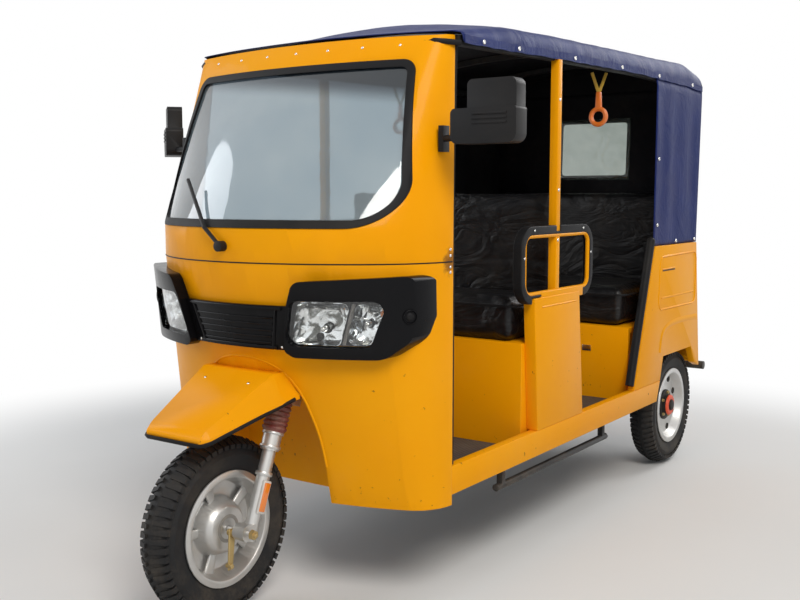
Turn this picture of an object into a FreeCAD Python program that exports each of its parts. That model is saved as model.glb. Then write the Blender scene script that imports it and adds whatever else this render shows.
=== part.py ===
import FreeCAD, Part
import math
import os
import re
import Sketcher
from types import SimpleNamespace
from FreeCAD import Placement, Rotation, Vector

# Three wheeled auto rickshaw, in millimetres.
# +Z is up, the cab faces -Y and +X is the side of the vehicle's left hand.
# The origin lies on the ground below the middle of the whole vehicle.

doc = FreeCAD.newDocument("AutoRickshaw")

# Driving sizes

SIZES = [
    # wheels and tyres
    ("tyre_radius", "262"),
    ("tyre_width", "108"),
    ("tyre_crown_drop", "12"),
    ("tyre_shoulder_drop", "34"),
    ("tyre_bead_in", "24"),
    ("rim_seat_radius", "152"),
    ("rim_flange_rise", "15"),
    ("rim_flange_width", "7"),
    ("rim_wall", "6"),
    ("rim_well_drop", "16"),
    ("front_drum_radius", "74"),
    ("front_drum_width", "84"),
    ("rear_drum_radius", "86"),
    ("rear_disc_inset", "14"),
    ("rear_hub_radius", "34"),
    ("rear_hub_width", "26"),
    ("axle_radius", "8"),
    ("axle_running_gap", "0.05"),
    ("wheelbase", "2365.5"),
    ("rear_track_in", "190"),
    ("wheel_gap", "14"),
    ("rear_overhang", "356.5"),
    # steering fork
    ("rake_deg", "21"),
    ("leg_behind_axle", "30"),
    ("stem_behind_axle", "62"),
    ("leg_spread", "200"),
    ("leg_radius", "20"),
    ("leg_foot_drop", "30"),
    ("leg_cup_height", "262"),
    ("leg_cup_radius", "27"),
    ("leg_cup_length", "50"),
    ("boot_radius", "31"),
    ("boot_length", "92"),
    ("yoke_thickness", "30"),
    ("yoke_depth", "78"),
    ("stem_radius", "16"),
    ("stem_running_gap", "0.05"),
    ("stem_below_seam", "5"),
    ("head_tube_radius", "30"),
    ("head_tube_rise", "424"),
    ("head_tube_length", "170"),
    ("handlebar_radius", "14"),
    ("handlebar_spread", "560"),
    ("handlebar_sweep", "70"),
    ("grip_radius", "18"),
    ("grip_length", "125"),
    ("clamp_radius", "30"),
    ("clamp_length", "44"),
    # front mudguard
    ("guard_thickness", "5"),
    ("guard_lip", "12"),
    ("guard_band_rise", "20"),
    ("guard_band_in", "16"),
    ("guard_tip_reach", "162"),
    ("guard_tip_rise", "279"),
    ("guard_tip_half", "104"),
    ("guard_corner_run", "22"),
    ("guard_corner_out", "18"),
    ("guard_seat_back", "140"),
    ("guard_seat_rise", "87"),
    ("guard_side_gap", "9"),
    ("guard_crest_back", "92"),
    ("guard_crest_in", "41"),
    ("guard_crest_over", "6"),
    # nose and cab front
    ("body_width", "1040"),
    ("wall", "22"),
    ("nose_foot_drop", "59"),
    ("seam_height", "1015"),
    ("nose_lean", "175"),
    ("nose_seam_depth", "385"),
    ("nose_corner_fall", "170"),
    ("nose_seam_corner", "300"),
    ("door_front", "430"),
    ("cowl_tall", "95"),
    ("cowl_forward", "7"),
    ("screen_rise", "522"),
    ("header_step_in", "34"),
    ("header_depth", "88"),
    ("header_corner", "52"),
    ("header_run", "58"),
    ("screen_foot_in", "36"),
    ("screen_head_in", "66"),
    ("screen_above_cowl", "2"),
    ("header_tall", "50"),
    ("screen_foot_corner", "120"),
    ("screen_head_corner", "45"),
    ("seal_width", "22"),
    ("seal_proud", "4"),
    ("seal_depth", "16"),
    ("glass_inset", "4"),
    ("glass_thickness", "5"),
    ("arch_half", "222"),
    ("arch_shoulder_rise", "238"),
    ("arch_waist_in", "34"),
    ("arch_waist_rise", "128"),
    ("arch_crown_in", "46"),
    ("arch_crown_rise", "60"),
    ("arch_top_rise", "8"),
    ("arch_ahead", "64"),
    ("liner", "12"),
    # lamp mask
    ("mask_proud", "16"),
    ("bezel_proud", "42"),
    ("mask_in_rim", "4"),
    ("mask_top_run", "14"),
    ("mask_side_in", "9"),
    ("mask_side_lean", "10"),
    ("mask_low_reach", "32"),
    ("mask_top_fall", "17"),
    ("mask_above_lamp", "69"),
    ("mask_side_rise", "112"),
    ("mask_below_lamp", "32"),
    ("mask_low_run", "26"),
    ("mask_side_drop", "62"),
    ("grille_tall", "127"),
    ("grille_rise", "16"),
    ("lamp_in_low", "188"),
    ("lamp_in_lean", "36"),
    ("lamp_side_in", "51"),
    ("lamp_side_lean", "48"),
    ("lamp_below_seam", "99"),
    ("lamp_tall", "130"),
    ("lamp_corner", "26"),
    ("lamp_depth", "50"),
    ("lamp_sink", "13"),
    # floor and sills
    ("floor_height", "365"),
    ("floor_thickness", "28"),
    ("floor_gap", "0.3"),
    ("rail_half", "250"),
    ("rail_width", "50"),
    ("rail_depth", "46"),
    ("sill_rise", "55"),
    ("sill_drop", "30"),
    ("sill_width", "32"),
    ("sill_short", "34"),
    # driver's seat
    ("seat_run", "495"),
    ("seat_box_long", "375"),
    ("seat_box_tall", "350"),
    ("seat_cushion_tall", "153"),
    ("seat_cushion_lip", "14"),
    ("cushion_round", "28"),
    ("back_thickness", "62"),
    ("back_ahead", "105"),
    ("back_tall", "511"),
    # middle panel, post and grab loop
    ("panel_top_run", "7"),
    ("panel_front_lean", "34"),
    ("panel_foot_run", "18"),
    ("panel_rear_lean", "46"),
    ("panel_rise", "151"),
    ("panel_depth", "42"),
    ("post_side", "28"),
    ("post_in", "6"),
    ("loop_ahead", "70"),
    ("loop_behind", "94"),
    ("loop_above_panel", "2"),
    ("loop_tall", "214"),
    ("loop_corner", "58"),
    ("loop_strip", "9"),
    ("loop_width", "30"),
    ("pad_thickness", "20"),
    # rear bench and power unit
    ("bench_ahead", "150"),
    ("bench_in", "50"),
    ("bench_board", "24"),
    ("bench_tall", "303"),
    ("bench_cushion_tall", "164"),
    ("bench_back_thickness", "90"),
    ("bench_back_tall", "568"),
    ("engine_ahead", "35"),
    ("engine_long", "305"),
    ("engine_drop", "65"),
    ("engine_below_bench", "58"),
    # rear body
    ("quarter_run", "365.5"),
    ("quarter_lean", "194"),
    ("quarter_rise", "325"),
    ("rear_top_run", "138.5"),
    ("rear_lean", "80"),
    ("body_foot_rise", "54"),
    ("quarter_thickness", "30"),
    ("wheel_arch_front_run", "273.5"),
    ("wheel_arch_front_lean", "30"),
    ("wheel_arch_rear_run", "104.5"),
    ("wheel_arch_rear_lean", "54"),
    ("wheel_arch_rise", "258"),
    ("edge_pad_radius", "17"),
    ("rear_wall_thickness", "22"),
    ("rear_lamp_in", "125"),
    ("rear_lamp_width", "96"),
    ("rear_lamp_drop", "293"),
    ("rear_lamp_tall", "150"),
    ("rear_lamp_proud", "34"),
    ("bumper_radius", "19"),
    ("bumper_in", "15"),
    ("bumper_drop", "19"),
    ("bumper_arm_in", "205"),
    ("bumper_arm_radius", "14"),
    ("bumper_arm_drop", "15"),
    ("tow_bore_radius", "8"),
    ("tow_bore_depth", "50"),
    # rear axle and swinging arms
    ("axle_tube_radius", "26"),
    ("drive_case_radius", "88"),
    ("drive_case_width", "120"),
    ("arm_half", "250"),
    ("arm_radius", "24"),
    # roof frame and hood
    ("roof_step_in", "20"),
    ("rail_tube", "26"),
    ("rail_drop", "10"),
    ("hood_overhang", "8"),
    ("hood_proud", "14"),
    ("hood_fabric", "9"),
    ("hood_shoulder", "72"),
    ("bow_radius", "11"),
    ("hood_seat_gap", "0.3"),
    # hood at each bow: distance behind the front axle, hem, shoulder and crown
    ("header_bow_ahead", "92"),
    ("header_bow_side", "18"),
    ("header_bow_rise", "15"),
    ("first_bow_ahead", "320"),
    ("first_hem_rise", "11"),
    ("first_bow_side", "77"),
    ("bow_rise", "40"),
    ("post_run", "181"),
    ("post_hem_rise", "13"),
    ("post_bow_side", "80"),
    ("third_bow_ahead", "596"),
    ("third_hem_rise", "19"),
    ("third_bow_side", "83"),
    ("rear_bow_ahead", "167"),
    ("rear_bow_side", "103"),
    ("tail_run", "36"),
    ("tail_hem_drop", "9"),
    ("tail_bow_side", "84"),
    ("tail_bow_rise", "34"),
    ("curtain_ahead", "8"),
    ("curtain_fabric", "8"),
    ("window_half", "170"),
    ("window_tall", "258"),
    ("window_drop", "118"),
    ("window_corner", "34"),
    ("pane_thickness", "3"),
    # trim that hangs on the cab
    ("mirror_ahead", "78"),
    ("mirror_base_rise", "246"),
    ("mirror_base_tall", "72"),
    ("mirror_arm_radius", "9"),
    ("mirror_fold_deg", "40"),
    ("mirror_out", "54"),
    ("mirror_width", "200"),
    ("mirror_foot_drop", "20"),
    ("mirror_low_tall", "94"),
    ("mirror_top_tall", "75"),
    ("mirror_step", "48"),
    ("mirror_thickness", "58"),
    ("wiper_drop", "50"),
    ("wiper_hub_radius", "14"),
    ("wiper_arm_length", "150"),
    ("wiper_blade_length", "150"),
    ("wiper_tilt_deg", "49"),
    ("wiper_bar", "9"),
    ("wiper_bow", "0.02"),
    ("strap_ahead", "221"),
    ("strap_in", "48"),
    ("strap_width", "26"),
    ("strap_thickness", "6"),
    ("ring_drop", "182"),
    ("ring_radius", "29"),
    ("ring_wire", "9"),
    ("step_in", "42"),
    ("step_radius", "12"),
    ("step_ahead", "165"),
    ("step_behind", "320"),
    ("step_drop", "66"),
    ("dash_run", "226"),
    ("dash_in", "80"),
    ("dash_drop", "57"),
    ("dash_thickness", "38"),
]

# Sizes that follow from those in the sheet

FOLLOWERS = [
    ("rear_track", "body_width - rear_track_in"),
    ("tyre_bead_width", "tyre_width - tyre_bead_in"),
    ("rim_flange_radius", "rim_seat_radius + rim_flange_rise"),
    ("stem_top_height", "seam_height - stem_below_seam"),
    ("head_tube_foot_height", "tyre_radius + head_tube_rise"),
    ("guard_tip_height", "tyre_radius + guard_tip_rise"),
    ("nose_foot_height", "floor_height - nose_foot_drop"),
    ("nose_foot_depth", "nose_seam_depth - nose_lean"),
    ("nose_foot_corner", "nose_seam_corner - nose_corner_fall"),
    ("cowl_height", "seam_height + cowl_tall"),
    ("cowl_depth", "nose_seam_depth + cowl_forward"),
    ("header_half", "body_width / 2 - header_step_in"),
    ("header_back", "door_front + header_run"),
    ("screen_foot_half", "body_width / 2 - screen_foot_in"),
    ("arch_shoulder_height", "tyre_radius + arch_shoulder_rise"),
    ("arch_waist_half", "arch_half - arch_waist_in"),
    ("arch_back", "door_front - arch_ahead"),
    ("mask_lamp_in", "lamp_in_low - mask_in_rim"),
    ("mask_out_top", "body_width / 2 - mask_side_in"),
    ("lamp_in_top", "lamp_in_low + lamp_in_lean"),
    ("lamp_top_height", "seam_height - lamp_below_seam"),
    ("sill_top_height", "floor_height + sill_rise"),
    ("sill_foot_height", "floor_height - sill_drop"),
    ("seat_box_front", "door_front + seat_run"),
    ("seat_box_height", "floor_height + seat_box_tall"),
    ("post_outer_half", "body_width / 2 - post_in"),
    ("bench_half", "body_width / 2 - bench_in"),
    ("bench_height", "floor_height + bench_tall"),
    ("engine_foot_height", "floor_height - engine_drop"),
    ("quarter_front_top", "wheelbase - quarter_run"),
    ("body_rear_top", "wheelbase + rear_top_run"),
    ("body_foot_height", "floor_height + body_foot_rise"),
    ("wheel_arch_front_foot", "wheelbase - wheel_arch_front_run"),
    ("wheel_arch_rear_top", "wheelbase + wheel_arch_rear_run"),
    ("wheel_arch_top_height", "tyre_radius + wheel_arch_rise"),
    ("rear_lamp_half", "body_width / 2 - rear_lamp_in"),
    ("bumper_half", "body_width / 2 - bumper_in"),
    ("roof_half", "body_width / 2 - roof_step_in"),
    ("mirror_back", "door_front - mirror_ahead"),
    ("mirror_inner_half", "body_width / 2 + mirror_out"),
    ("step_half", "body_width / 2 - step_in"),
    ("dash_rear", "stem_behind_axle + dash_run"),
    ("dash_half", "body_width / 2 - dash_in"),
    ("dash_height", "seam_height - dash_drop"),
    ("guard_seat_height", "guard_tip_height + guard_seat_rise"),
    ("guard_wide_half", "arch_waist_half - guard_side_gap"),
    ("screen_head_half", "header_half - screen_head_in"),
    ("screen_foot_height", "cowl_height + screen_above_cowl"),
    ("arch_waist_height", "arch_shoulder_height + arch_waist_rise"),
    ("arch_crown_half", "arch_waist_half - arch_crown_in"),
    ("mask_lamp_top_in", "lamp_in_top + mask_top_run"),
    ("mask_out_low", "mask_out_top - mask_side_lean"),
    ("mask_top_out_height", "lamp_top_height + mask_above_lamp"),
    ("lamp_out_top", "mask_out_top - lamp_side_in"),
    ("lamp_low_height", "lamp_top_height - lamp_tall"),
    ("sill_rear", "wheel_arch_front_foot - sill_short"),
    ("seat_box_rear", "seat_box_front + seat_box_long"),
    ("seat_cushion_height", "seat_box_height + seat_cushion_tall"),
    ("back_top_height", "seat_box_height + back_tall"),
    ("panel_front_top", "seat_box_front + panel_top_run"),
    ("panel_top_height", "seat_box_height + panel_rise"),
    ("bench_front", "quarter_front_top - bench_ahead"),
    ("bench_cushion_height", "bench_height + bench_cushion_tall"),
    ("bench_back_top_height", "bench_height + bench_back_tall"),
    ("engine_front", "quarter_front_top - engine_ahead"),
    ("engine_top_height", "bench_height - engine_below_bench"),
    ("quarter_front_foot", "quarter_front_top - quarter_lean"),
    ("quarter_top_height", "bench_height + quarter_rise"),
    ("body_rear_foot", "body_rear_top + rear_lean"),
    ("wheel_arch_front_top", "wheel_arch_front_foot + wheel_arch_front_lean"),
    ("wheel_arch_rear_foot", "wheel_arch_rear_top + wheel_arch_rear_lean"),
    ("bumper_height", "body_foot_height - bumper_drop"),
    ("bumper_arm_half", "bumper_half - bumper_arm_in"),
    ("header_y", "header_back - header_bow_ahead"),
    ("post_y", "seat_box_front + post_run"),
    ("tail_y", "body_rear_top + tail_run"),
    ("curtain_front", "quarter_front_top - curtain_ahead"),
    ("mirror_outer_half", "mirror_inner_half + mirror_width"),
    ("mirror_shoulder_half", "mirror_inner_half + mirror_step"),
    ("wiper_height", "cowl_height - wiper_drop"),
    ("strap_half", "roof_half - strap_in"),
    ("step_front", "seat_box_front - step_ahead"),
    ("guard_corner_half", "guard_tip_half + guard_corner_out"),
    ("guard_crest_half", "guard_wide_half - guard_crest_in"),
    ("header_height", "screen_foot_height + screen_rise"),
    ("arch_crown_height", "arch_waist_height + arch_crown_rise"),
    ("mask_top_in_height", "mask_top_out_height - mask_top_fall"),
    ("mask_low_height", "lamp_low_height - mask_below_lamp"),
    ("lamp_out_low", "lamp_out_top - lamp_side_lean"),
    ("back_front", "seat_box_rear - back_ahead"),
    ("panel_front_foot", "panel_front_top + panel_front_lean"),
    ("panel_rear_foot", "seat_box_rear + panel_foot_run"),
    ("loop_front", "panel_front_top - loop_ahead"),
    ("loop_foot_height", "panel_top_height + loop_above_panel"),
    ("engine_rear", "engine_front + engine_long"),
    ("rear_lamp_height", "quarter_top_height - rear_lamp_drop"),
    ("bumper_arm_height", "bumper_height - bumper_arm_drop"),
    ("first_y", "post_y - first_bow_ahead"),
    ("rear_y", "tail_y - rear_bow_ahead"),
    ("mirror_base_height", "screen_foot_height + mirror_base_rise"),
    ("step_rear", "seat_box_rear + step_behind"),
    ("arm_front", "engine_front"),
    ("screen_head_height", "header_height - header_tall"),
    ("arch_top_height", "arch_crown_height + arch_top_rise"),
    ("guard_crest_height", "arch_top_height + guard_crest_over"),
    ("mask_low_out", "lamp_out_low + mask_low_reach"),
    ("mask_side_height", "mask_low_height + mask_side_rise"),
    ("grille_low_height", "mask_low_height + grille_rise"),
    ("panel_rear_top", "panel_rear_foot - panel_rear_lean"),
    ("loop_top_height", "loop_foot_height + loop_tall"),
    ("third_y", "rear_y - third_bow_ahead"),
    ("mirror_foot_height", "mirror_base_height - mirror_foot_drop"),
    ("header_hem", "header_height"),
    ("grille_top_height", "grille_low_height + grille_tall"),
    ("loop_rear", "panel_rear_top + loop_behind"),
    ("header_shoulder", "header_hem + header_bow_side"),
    ("first_hem", "header_hem + first_hem_rise"),
    ("mirror_waist_height", "mirror_foot_height + mirror_low_tall"),
    ("strap_back", "third_y - strap_ahead"),
    ("header_crown", "header_shoulder + header_bow_rise"),
    ("first_shoulder", "first_hem + first_bow_side"),
    ("post_hem", "first_hem + post_hem_rise"),
    ("mirror_top_height", "mirror_waist_height + mirror_top_tall"),
    ("first_crown", "first_shoulder + bow_rise"),
    ("post_shoulder", "post_hem + post_bow_side"),
    ("third_hem", "post_hem + third_hem_rise"),
    ("third_shoulder", "third_hem + third_bow_side"),
    ("ring_height", "third_hem - ring_drop"),
    ("rear_hem", "third_hem"),
    ("post_crown", "post_shoulder + bow_rise"),
    ("rear_shoulder", "rear_hem + rear_bow_side"),
    ("tail_hem", "rear_hem - tail_hem_drop"),
    ("third_crown", "third_shoulder + bow_rise"),
    ("tail_shoulder", "tail_hem + tail_bow_side"),
    ("window_top_height", "tail_hem - window_drop"),
    ("rear_crown", "rear_shoulder + bow_rise"),
    ("tail_crown", "tail_shoulder + tail_bow_rise"),
    ("window_foot_height", "window_top_height - window_tall"),
]

sheet = doc.addObject("Spreadsheet::Sheet", "Sizes")
sheet.Label = "Sizes"
for row, (name, text) in enumerate(SIZES, start=1):
    sheet.set("A%d" % row, name)
    sheet.set("B%d" % row, text)
    sheet.setAlias("B%d" % row, name)
doc.recompute()


def in_sheet(formula, own=()):
    """Name the object that holds each size of a formula."""
    homes = {name: "Sizes." for name, text in SIZES}
    homes.update({name: "Followers." for name, text in FOLLOWERS if name not in own})
    return re.sub(r"[a-z]\w*", lambda m: homes.get(m.group(0), "") + m.group(0), formula)


FOLLOWER_NAMES = [name for name, formula in FOLLOWERS]
followers = doc.addObject("App::VarSet", "Followers")
for name in FOLLOWER_NAMES:
    followers.addProperty("App::PropertyFloat", name)
for name, formula in FOLLOWERS:
    followers.setExpression(name, in_sheet(formula, FOLLOWER_NAMES))
doc.recompute()
v = SimpleNamespace(**{name: float(sheet.get(name)) for name, text in SIZES})
for name in FOLLOWER_NAMES:
    setattr(v, name, getattr(followers, name))

# Shape of the hood at each bow, from the windscreen header to the tail

HOOD_STATIONS = ["header", "first", "post", "third", "rear", "tail"]


def bind(thing, prop, formula):
    """Tie one property to the sheet, naming the sizes as plain words."""
    thing.setExpression(prop, in_sheet(formula))


def place(thing, x="0", y="0", z="0"):
    for axis, formula in (("x", x), ("y", y), ("z", z)):
        if formula != "0":
            bind(thing, "Placement.Base." + axis, formula)


def box(name, length, width, height, x, y, z):
    thing = doc.addObject("Part::Box", name)
    bind(thing, "Length", length)
    bind(thing, "Width", width)
    bind(thing, "Height", height)
    place(thing, x, y, z)
    return thing


def feature(name, shape):
    thing = doc.addObject("Part::Feature", name)
    thing.Shape = shape.removeSplitter() if len(shape.Solids) == 1 else shape
    return thing


def mirrored(shape):
    return shape.mirror(Vector(0, 0, 0), Vector(1, 0, 0))


def pair(name, shape):
    """One piece on the left side and its mirror image on the right."""
    return [feature(name + "_left", shape), feature(name + "_right", mirrored(shape))]


def side_prism(points, x_low, x_high):
    """Flat outline in the Y Z plane, thickened between two X values."""
    corners = [Vector(x_low, y, z) for y, z in points]
    face = Part.Face(Part.makePolygon(corners + corners[:1]))
    return face.extrude(Vector(x_high - x_low, 0, 0))


def front_prism(points, y_low, y_high, radii=None):
    """Outline in the X Z plane with rounded corners, thickened between two Y values."""
    count = len(points)
    radii = radii or [0] * count
    edges = []
    ends = []
    for i in range(count):
        here = Vector(points[i][0], y_low, points[i][1])
        before = Vector(points[i - 1][0], y_low, points[i - 1][1])
        after = Vector(points[(i + 1) % count][0], y_low, points[(i + 1) % count][1])
        to_before = (before - here).normalize()
        to_after = (after - here).normalize()
        if radii[i] <= 0:
            ends.append((here, here))
            continue
        half = to_before.getAngle(to_after) / 2
        back = radii[i] / math.tan(half)
        start = here + to_before * back
        stop = here + to_after * back
        inward = (to_before + to_after).normalize()
        middle = here + inward * (radii[i] / math.sin(half) - radii[i])
        ends.append((start, stop))
        edges.append((i, Part.Arc(start, middle, stop).toShape()))
    arcs = dict(edges)
    ordered = []
    for i in range(count):
        if i in arcs:
            ordered.append(arcs[i])
        ordered.append(Part.makeLine(ends[i][1], ends[(i + 1) % count][0]))
    face = Part.Face(Part.Wire(ordered))
    return face.extrude(Vector(0, y_high - y_low, 0))


def bar(start, stop, radius):
    way = stop - start
    return Part.makeCylinder(radius, way.Length, start, way)


def block(x_low, x_high, y_low, y_high, z_low, z_high):
    size = (x_high - x_low, y_high - y_low, z_high - z_low)
    return Part.makeBox(size[0], size[1], size[2], Vector(x_low, y_low, z_low))


# Where the front axle lies: the whole length is centred on the origin
AXLE_Y = "(tyre_radius - wheelbase - rear_overhang) / 2"
front_y = (v.tyre_radius - v.wheelbase - v.rear_overhang) / 2
half_body = v.body_width / 2
gap = v.floor_gap


def at(distance):
    """Y of a place given as its distance behind the front axle."""
    return front_y + distance


def behind(name):
    return AXLE_Y + " + " + name


# Wheels: tyre and rim turned about the wheel's own X axis


def turned(name, corners):
    """Body turned about X from an outline of (X, radius) formulas."""
    body = doc.addObject("PartDesign::Body", name)
    plane = [f for f in body.Origin.OriginFeatures if f.Role == "XY_Plane"][0]
    sketch = body.newObject("Sketcher::SketchObject", name + "_outline")
    sketch.AttachmentSupport = [(plane, "")]
    sketch.MapMode = "FlatFace"
    count = len(corners)
    spread = [2 * math.pi * i / count for i in range(count)]
    rough = [Vector(50 * math.cos(a), 200 + 50 * math.sin(a), 0) for a in spread]
    for i in range(count):
        sketch.addGeometry(Part.LineSegment(rough[i], rough[(i + 1) % count]), False)
    for i in range(count):
        joined = Sketcher.Constraint("Coincident", i, 2, (i + 1) % count, 1)
        sketch.addConstraint(joined)
    for i, (along, out) in enumerate(corners):
        start = rough[i]
        number = sketch.addConstraint(Sketcher.Constraint("DistanceX", -1, 1, i, 1, start.x))
        bind(sketch, "Constraints[%d]" % number, along)
        number = sketch.addConstraint(Sketcher.Constraint("DistanceY", -1, 1, i, 1, start.y))
        bind(sketch, "Constraints[%d]" % number, out)
    turn = body.newObject("PartDesign::Revolution", name + "_turn")
    turn.Profile = sketch
    turn.ReferenceAxis = (sketch, ["H_Axis"])
    turn.Angle = 360
    return body


TYRE = [
    ("-tyre_bead_width / 2", "rim_seat_radius"),
    ("tyre_bead_width / 2", "rim_seat_radius"),
    ("tyre_bead_width / 2", "rim_flange_radius"),
    ("tyre_width / 2 - 2", "rim_flange_radius + 22"),
    ("tyre_width / 2", "(rim_flange_radius + tyre_radius) / 2 + 4"),
    ("tyre_width / 2 - 4", "tyre_radius - tyre_shoulder_drop"),
    ("tyre_width / 2 - 16", "tyre_radius - tyre_crown_drop"),
    ("tyre_width / 5", "tyre_radius"),
    ("-tyre_width / 5", "tyre_radius"),
    ("-tyre_width / 2 + 16", "tyre_radius - tyre_crown_drop"),
    ("-tyre_width / 2 + 4", "tyre_radius - tyre_shoulder_drop"),
    ("-tyre_width / 2", "(rim_flange_radius + tyre_radius) / 2 + 4"),
    ("-tyre_width / 2 + 2", "rim_flange_radius + 22"),
    ("-tyre_bead_width / 2", "rim_flange_radius"),
]

# Barrel with its two flanges, then the dished disc down to the hub
FRONT_RIM = [
    ("-tyre_bead_width / 2 - rim_flange_width", "rim_seat_radius - rim_wall"),
    ("-front_drum_width / 4", "rim_seat_radius - rim_well_drop - rim_wall"),
    ("-front_drum_width / 4", "front_drum_radius"),
    ("-front_drum_width / 2", "front_drum_radius"),
    ("-front_drum_width / 2", "axle_radius + axle_running_gap"),
    ("front_drum_width / 2", "axle_radius + axle_running_gap"),
    ("front_drum_width / 2", "front_drum_radius - 12"),
    ("front_drum_width / 3", "front_drum_radius"),
    ("-front_drum_width / 8", "front_drum_radius + 14"),
    ("-front_drum_width / 8", "rim_seat_radius - rim_well_drop - rim_wall"),
    ("tyre_bead_width / 2 + rim_flange_width", "rim_seat_radius - rim_wall"),
    ("tyre_bead_width / 2 + rim_flange_width", "rim_flange_radius"),
    ("tyre_bead_width / 2 + 0.3", "rim_flange_radius"),
    ("tyre_bead_width / 2 + 0.3", "rim_seat_radius - 0.3"),
    ("-tyre_bead_width / 2 - 0.3", "rim_seat_radius - 0.3"),
    ("-tyre_bead_width / 2 - 0.3", "rim_flange_radius"),
    ("-tyre_bead_width / 2 - rim_flange_width", "rim_flange_radius"),
]

REAR_RIM = [
    ("-tyre_bead_width / 2 - rim_flange_width", "rim_seat_radius - rim_wall"),
    ("rear_disc_inset - 8", "rim_seat_radius - rim_well_drop - rim_wall"),
    ("rear_disc_inset - 8", "rear_drum_radius"),
    ("-rear_drum_radius / 2", "rear_drum_radius"),
    ("-rear_drum_radius / 2", "axle_radius + axle_running_gap"),
    ("rear_disc_inset + rear_hub_width", "axle_radius + axle_running_gap"),
    ("rear_disc_inset + rear_hub_width", "rear_hub_radius"),
    ("rear_disc_inset + 6", "rear_hub_radius"),
    ("rear_disc_inset", "rear_drum_radius"),
    ("rear_disc_inset", "rim_seat_radius - rim_well_drop - rim_wall"),
    ("tyre_bead_width / 2 + rim_flange_width", "rim_seat_radius - rim_wall"),
    ("tyre_bead_width / 2 + rim_flange_width", "rim_flange_radius"),
    ("tyre_bead_width / 2 + 0.3", "rim_flange_radius"),
    ("tyre_bead_width / 2 + 0.3", "rim_seat_radius - 0.3"),
    ("-tyre_bead_width / 2 - 0.3", "rim_seat_radius - 0.3"),
    ("-tyre_bead_width / 2 - 0.3", "rim_flange_radius"),
    ("-tyre_bead_width / 2 - rim_flange_width", "rim_flange_radius"),
]

pieces = []

# name, outline, X of the wheel's middle, distance behind the front axle, facing
WHEELS = [
    ("front_tyre", TYRE, "0", "0", False),
    ("front_rim", FRONT_RIM, "0", "0", False),
    ("rear_tyre_left", TYRE, "rear_track / 2", "wheelbase", False),
    ("rear_rim_left", REAR_RIM, "rear_track / 2", "wheelbase", False),
    ("rear_tyre_right", TYRE, "-rear_track / 2", "wheelbase", True),
    ("rear_rim_right", REAR_RIM, "-rear_track / 2", "wheelbase", True),
]
for name, outline, across, back, turned_round in WHEELS:
    wheel = turned(name, outline)
    if turned_round:
        wheel.Placement.Rotation = Rotation(Vector(0, 0, 1), 180)
    place(wheel, across, behind(back), "tyre_radius")
    pieces.append(wheel)

# Steering fork: everything is set along the raked steering axis

rake = math.radians(v.rake_deg)
up_axis = Vector(0, math.sin(rake), math.cos(rake))
fore_axis = Vector(0, -math.cos(rake), math.sin(rake))


def on_line(behind_axle, height):
    """Point of a raked line at one height, from its place at axle height."""
    rise = height - v.tyre_radius
    return Vector(0, at(behind_axle) + rise * math.tan(rake), height)


stem_foot = on_line(v.stem_behind_axle, v.head_tube_foot_height)
leg_in = v.leg_spread / 2
leg_low = on_line(v.leg_behind_axle, v.tyre_radius - v.leg_foot_drop)
cup_low = on_line(v.leg_behind_axle, v.tyre_radius + v.leg_cup_height - v.leg_cup_length)
cup_top = cup_low + up_axis * v.leg_cup_length
boot_top = cup_top + up_axis * v.boot_length
yoke_top = boot_top + up_axis * v.yoke_thickness
stem_low = stem_foot + up_axis * ((boot_top - stem_foot).dot(up_axis))
stem_top = on_line(v.stem_behind_axle, v.stem_top_height)
leg_to_stem = (leg_low - on_line(v.stem_behind_axle, leg_low.z)).dot(fore_axis)

legs = []
for side in (-1, 1):
    shift = Vector(side * leg_in, 0, 0)
    legs.append(bar(leg_low + shift, boot_top + shift, v.leg_radius))
    legs.append(bar(cup_low + shift, cup_top + shift, v.leg_cup_radius))
    legs.append(bar(cup_top + shift, boot_top + shift, v.boot_radius))
    lug = bar(Vector(side * (leg_in - v.leg_radius), front_y, v.tyre_radius),
              Vector(side * (leg_in + v.leg_radius), front_y, v.tyre_radius),
              v.leg_radius + 4)
    web = block(-v.leg_radius, v.leg_radius, -v.leg_behind_axle, 0, -v.leg_radius, v.leg_radius)
    web.translate(Vector(side * leg_in, at(v.leg_behind_axle), v.tyre_radius))
    legs.append(lug)
    legs.append(web)
yoke = block(-leg_in - v.boot_radius, leg_in + v.boot_radius,
             -v.yoke_depth / 2 - leg_to_stem / 2, v.yoke_depth / 2 - leg_to_stem / 2,
             0, v.yoke_thickness)
yoke.Placement = Placement(stem_low, Rotation(Vector(1, 0, 0), -v.rake_deg))
spindle = bar(Vector(-leg_in - v.leg_radius - 14, front_y, v.tyre_radius),
              Vector(leg_in + v.leg_radius + 14, front_y, v.tyre_radius), v.axle_radius)
stem = bar(stem_low, stem_top, v.stem_radius)

# Handlebar clamped round the top of the stem, swept back to the grips
bar_half = v.handlebar_spread / 2
clamp_low = stem_top - up_axis * v.clamp_length
clamp = bar(clamp_low, stem_top, v.clamp_radius)
bar_middle = (clamp_low + stem_top) * 0.5
handlebar = [clamp]
for side in (-1, 1):
    knee = bar_middle + Vector(side * bar_half * 0.4, 0, v.grip_radius)
    tip = bar_middle + Vector(side * bar_half, v.handlebar_sweep, v.grip_radius)
    way = (tip - knee).normalize()
    handlebar.append(bar(bar_middle + Vector(side * v.clamp_radius * 0.6, 0, 0), knee,
                         v.handlebar_radius))
    handlebar.append(Part.makeSphere(v.handlebar_radius, knee))
    handlebar.append(bar(knee, tip, v.handlebar_radius))
    handlebar.append(bar(tip - way * v.grip_length, tip, v.grip_radius))
handlebar = handlebar[0].fuse(handlebar[1:])
handlebar = handlebar.cut(bar(stem_low, stem_top + up_axis * v.clamp_length,
                              v.stem_radius))
pieces.append(feature("handlebar", handlebar))

fork = legs[0].fuse(legs[1:] + [yoke, stem, spindle])
pieces.append(feature("steering_fork", fork))

# Nose and cab front: rounded plan outlines, one above the other


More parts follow.
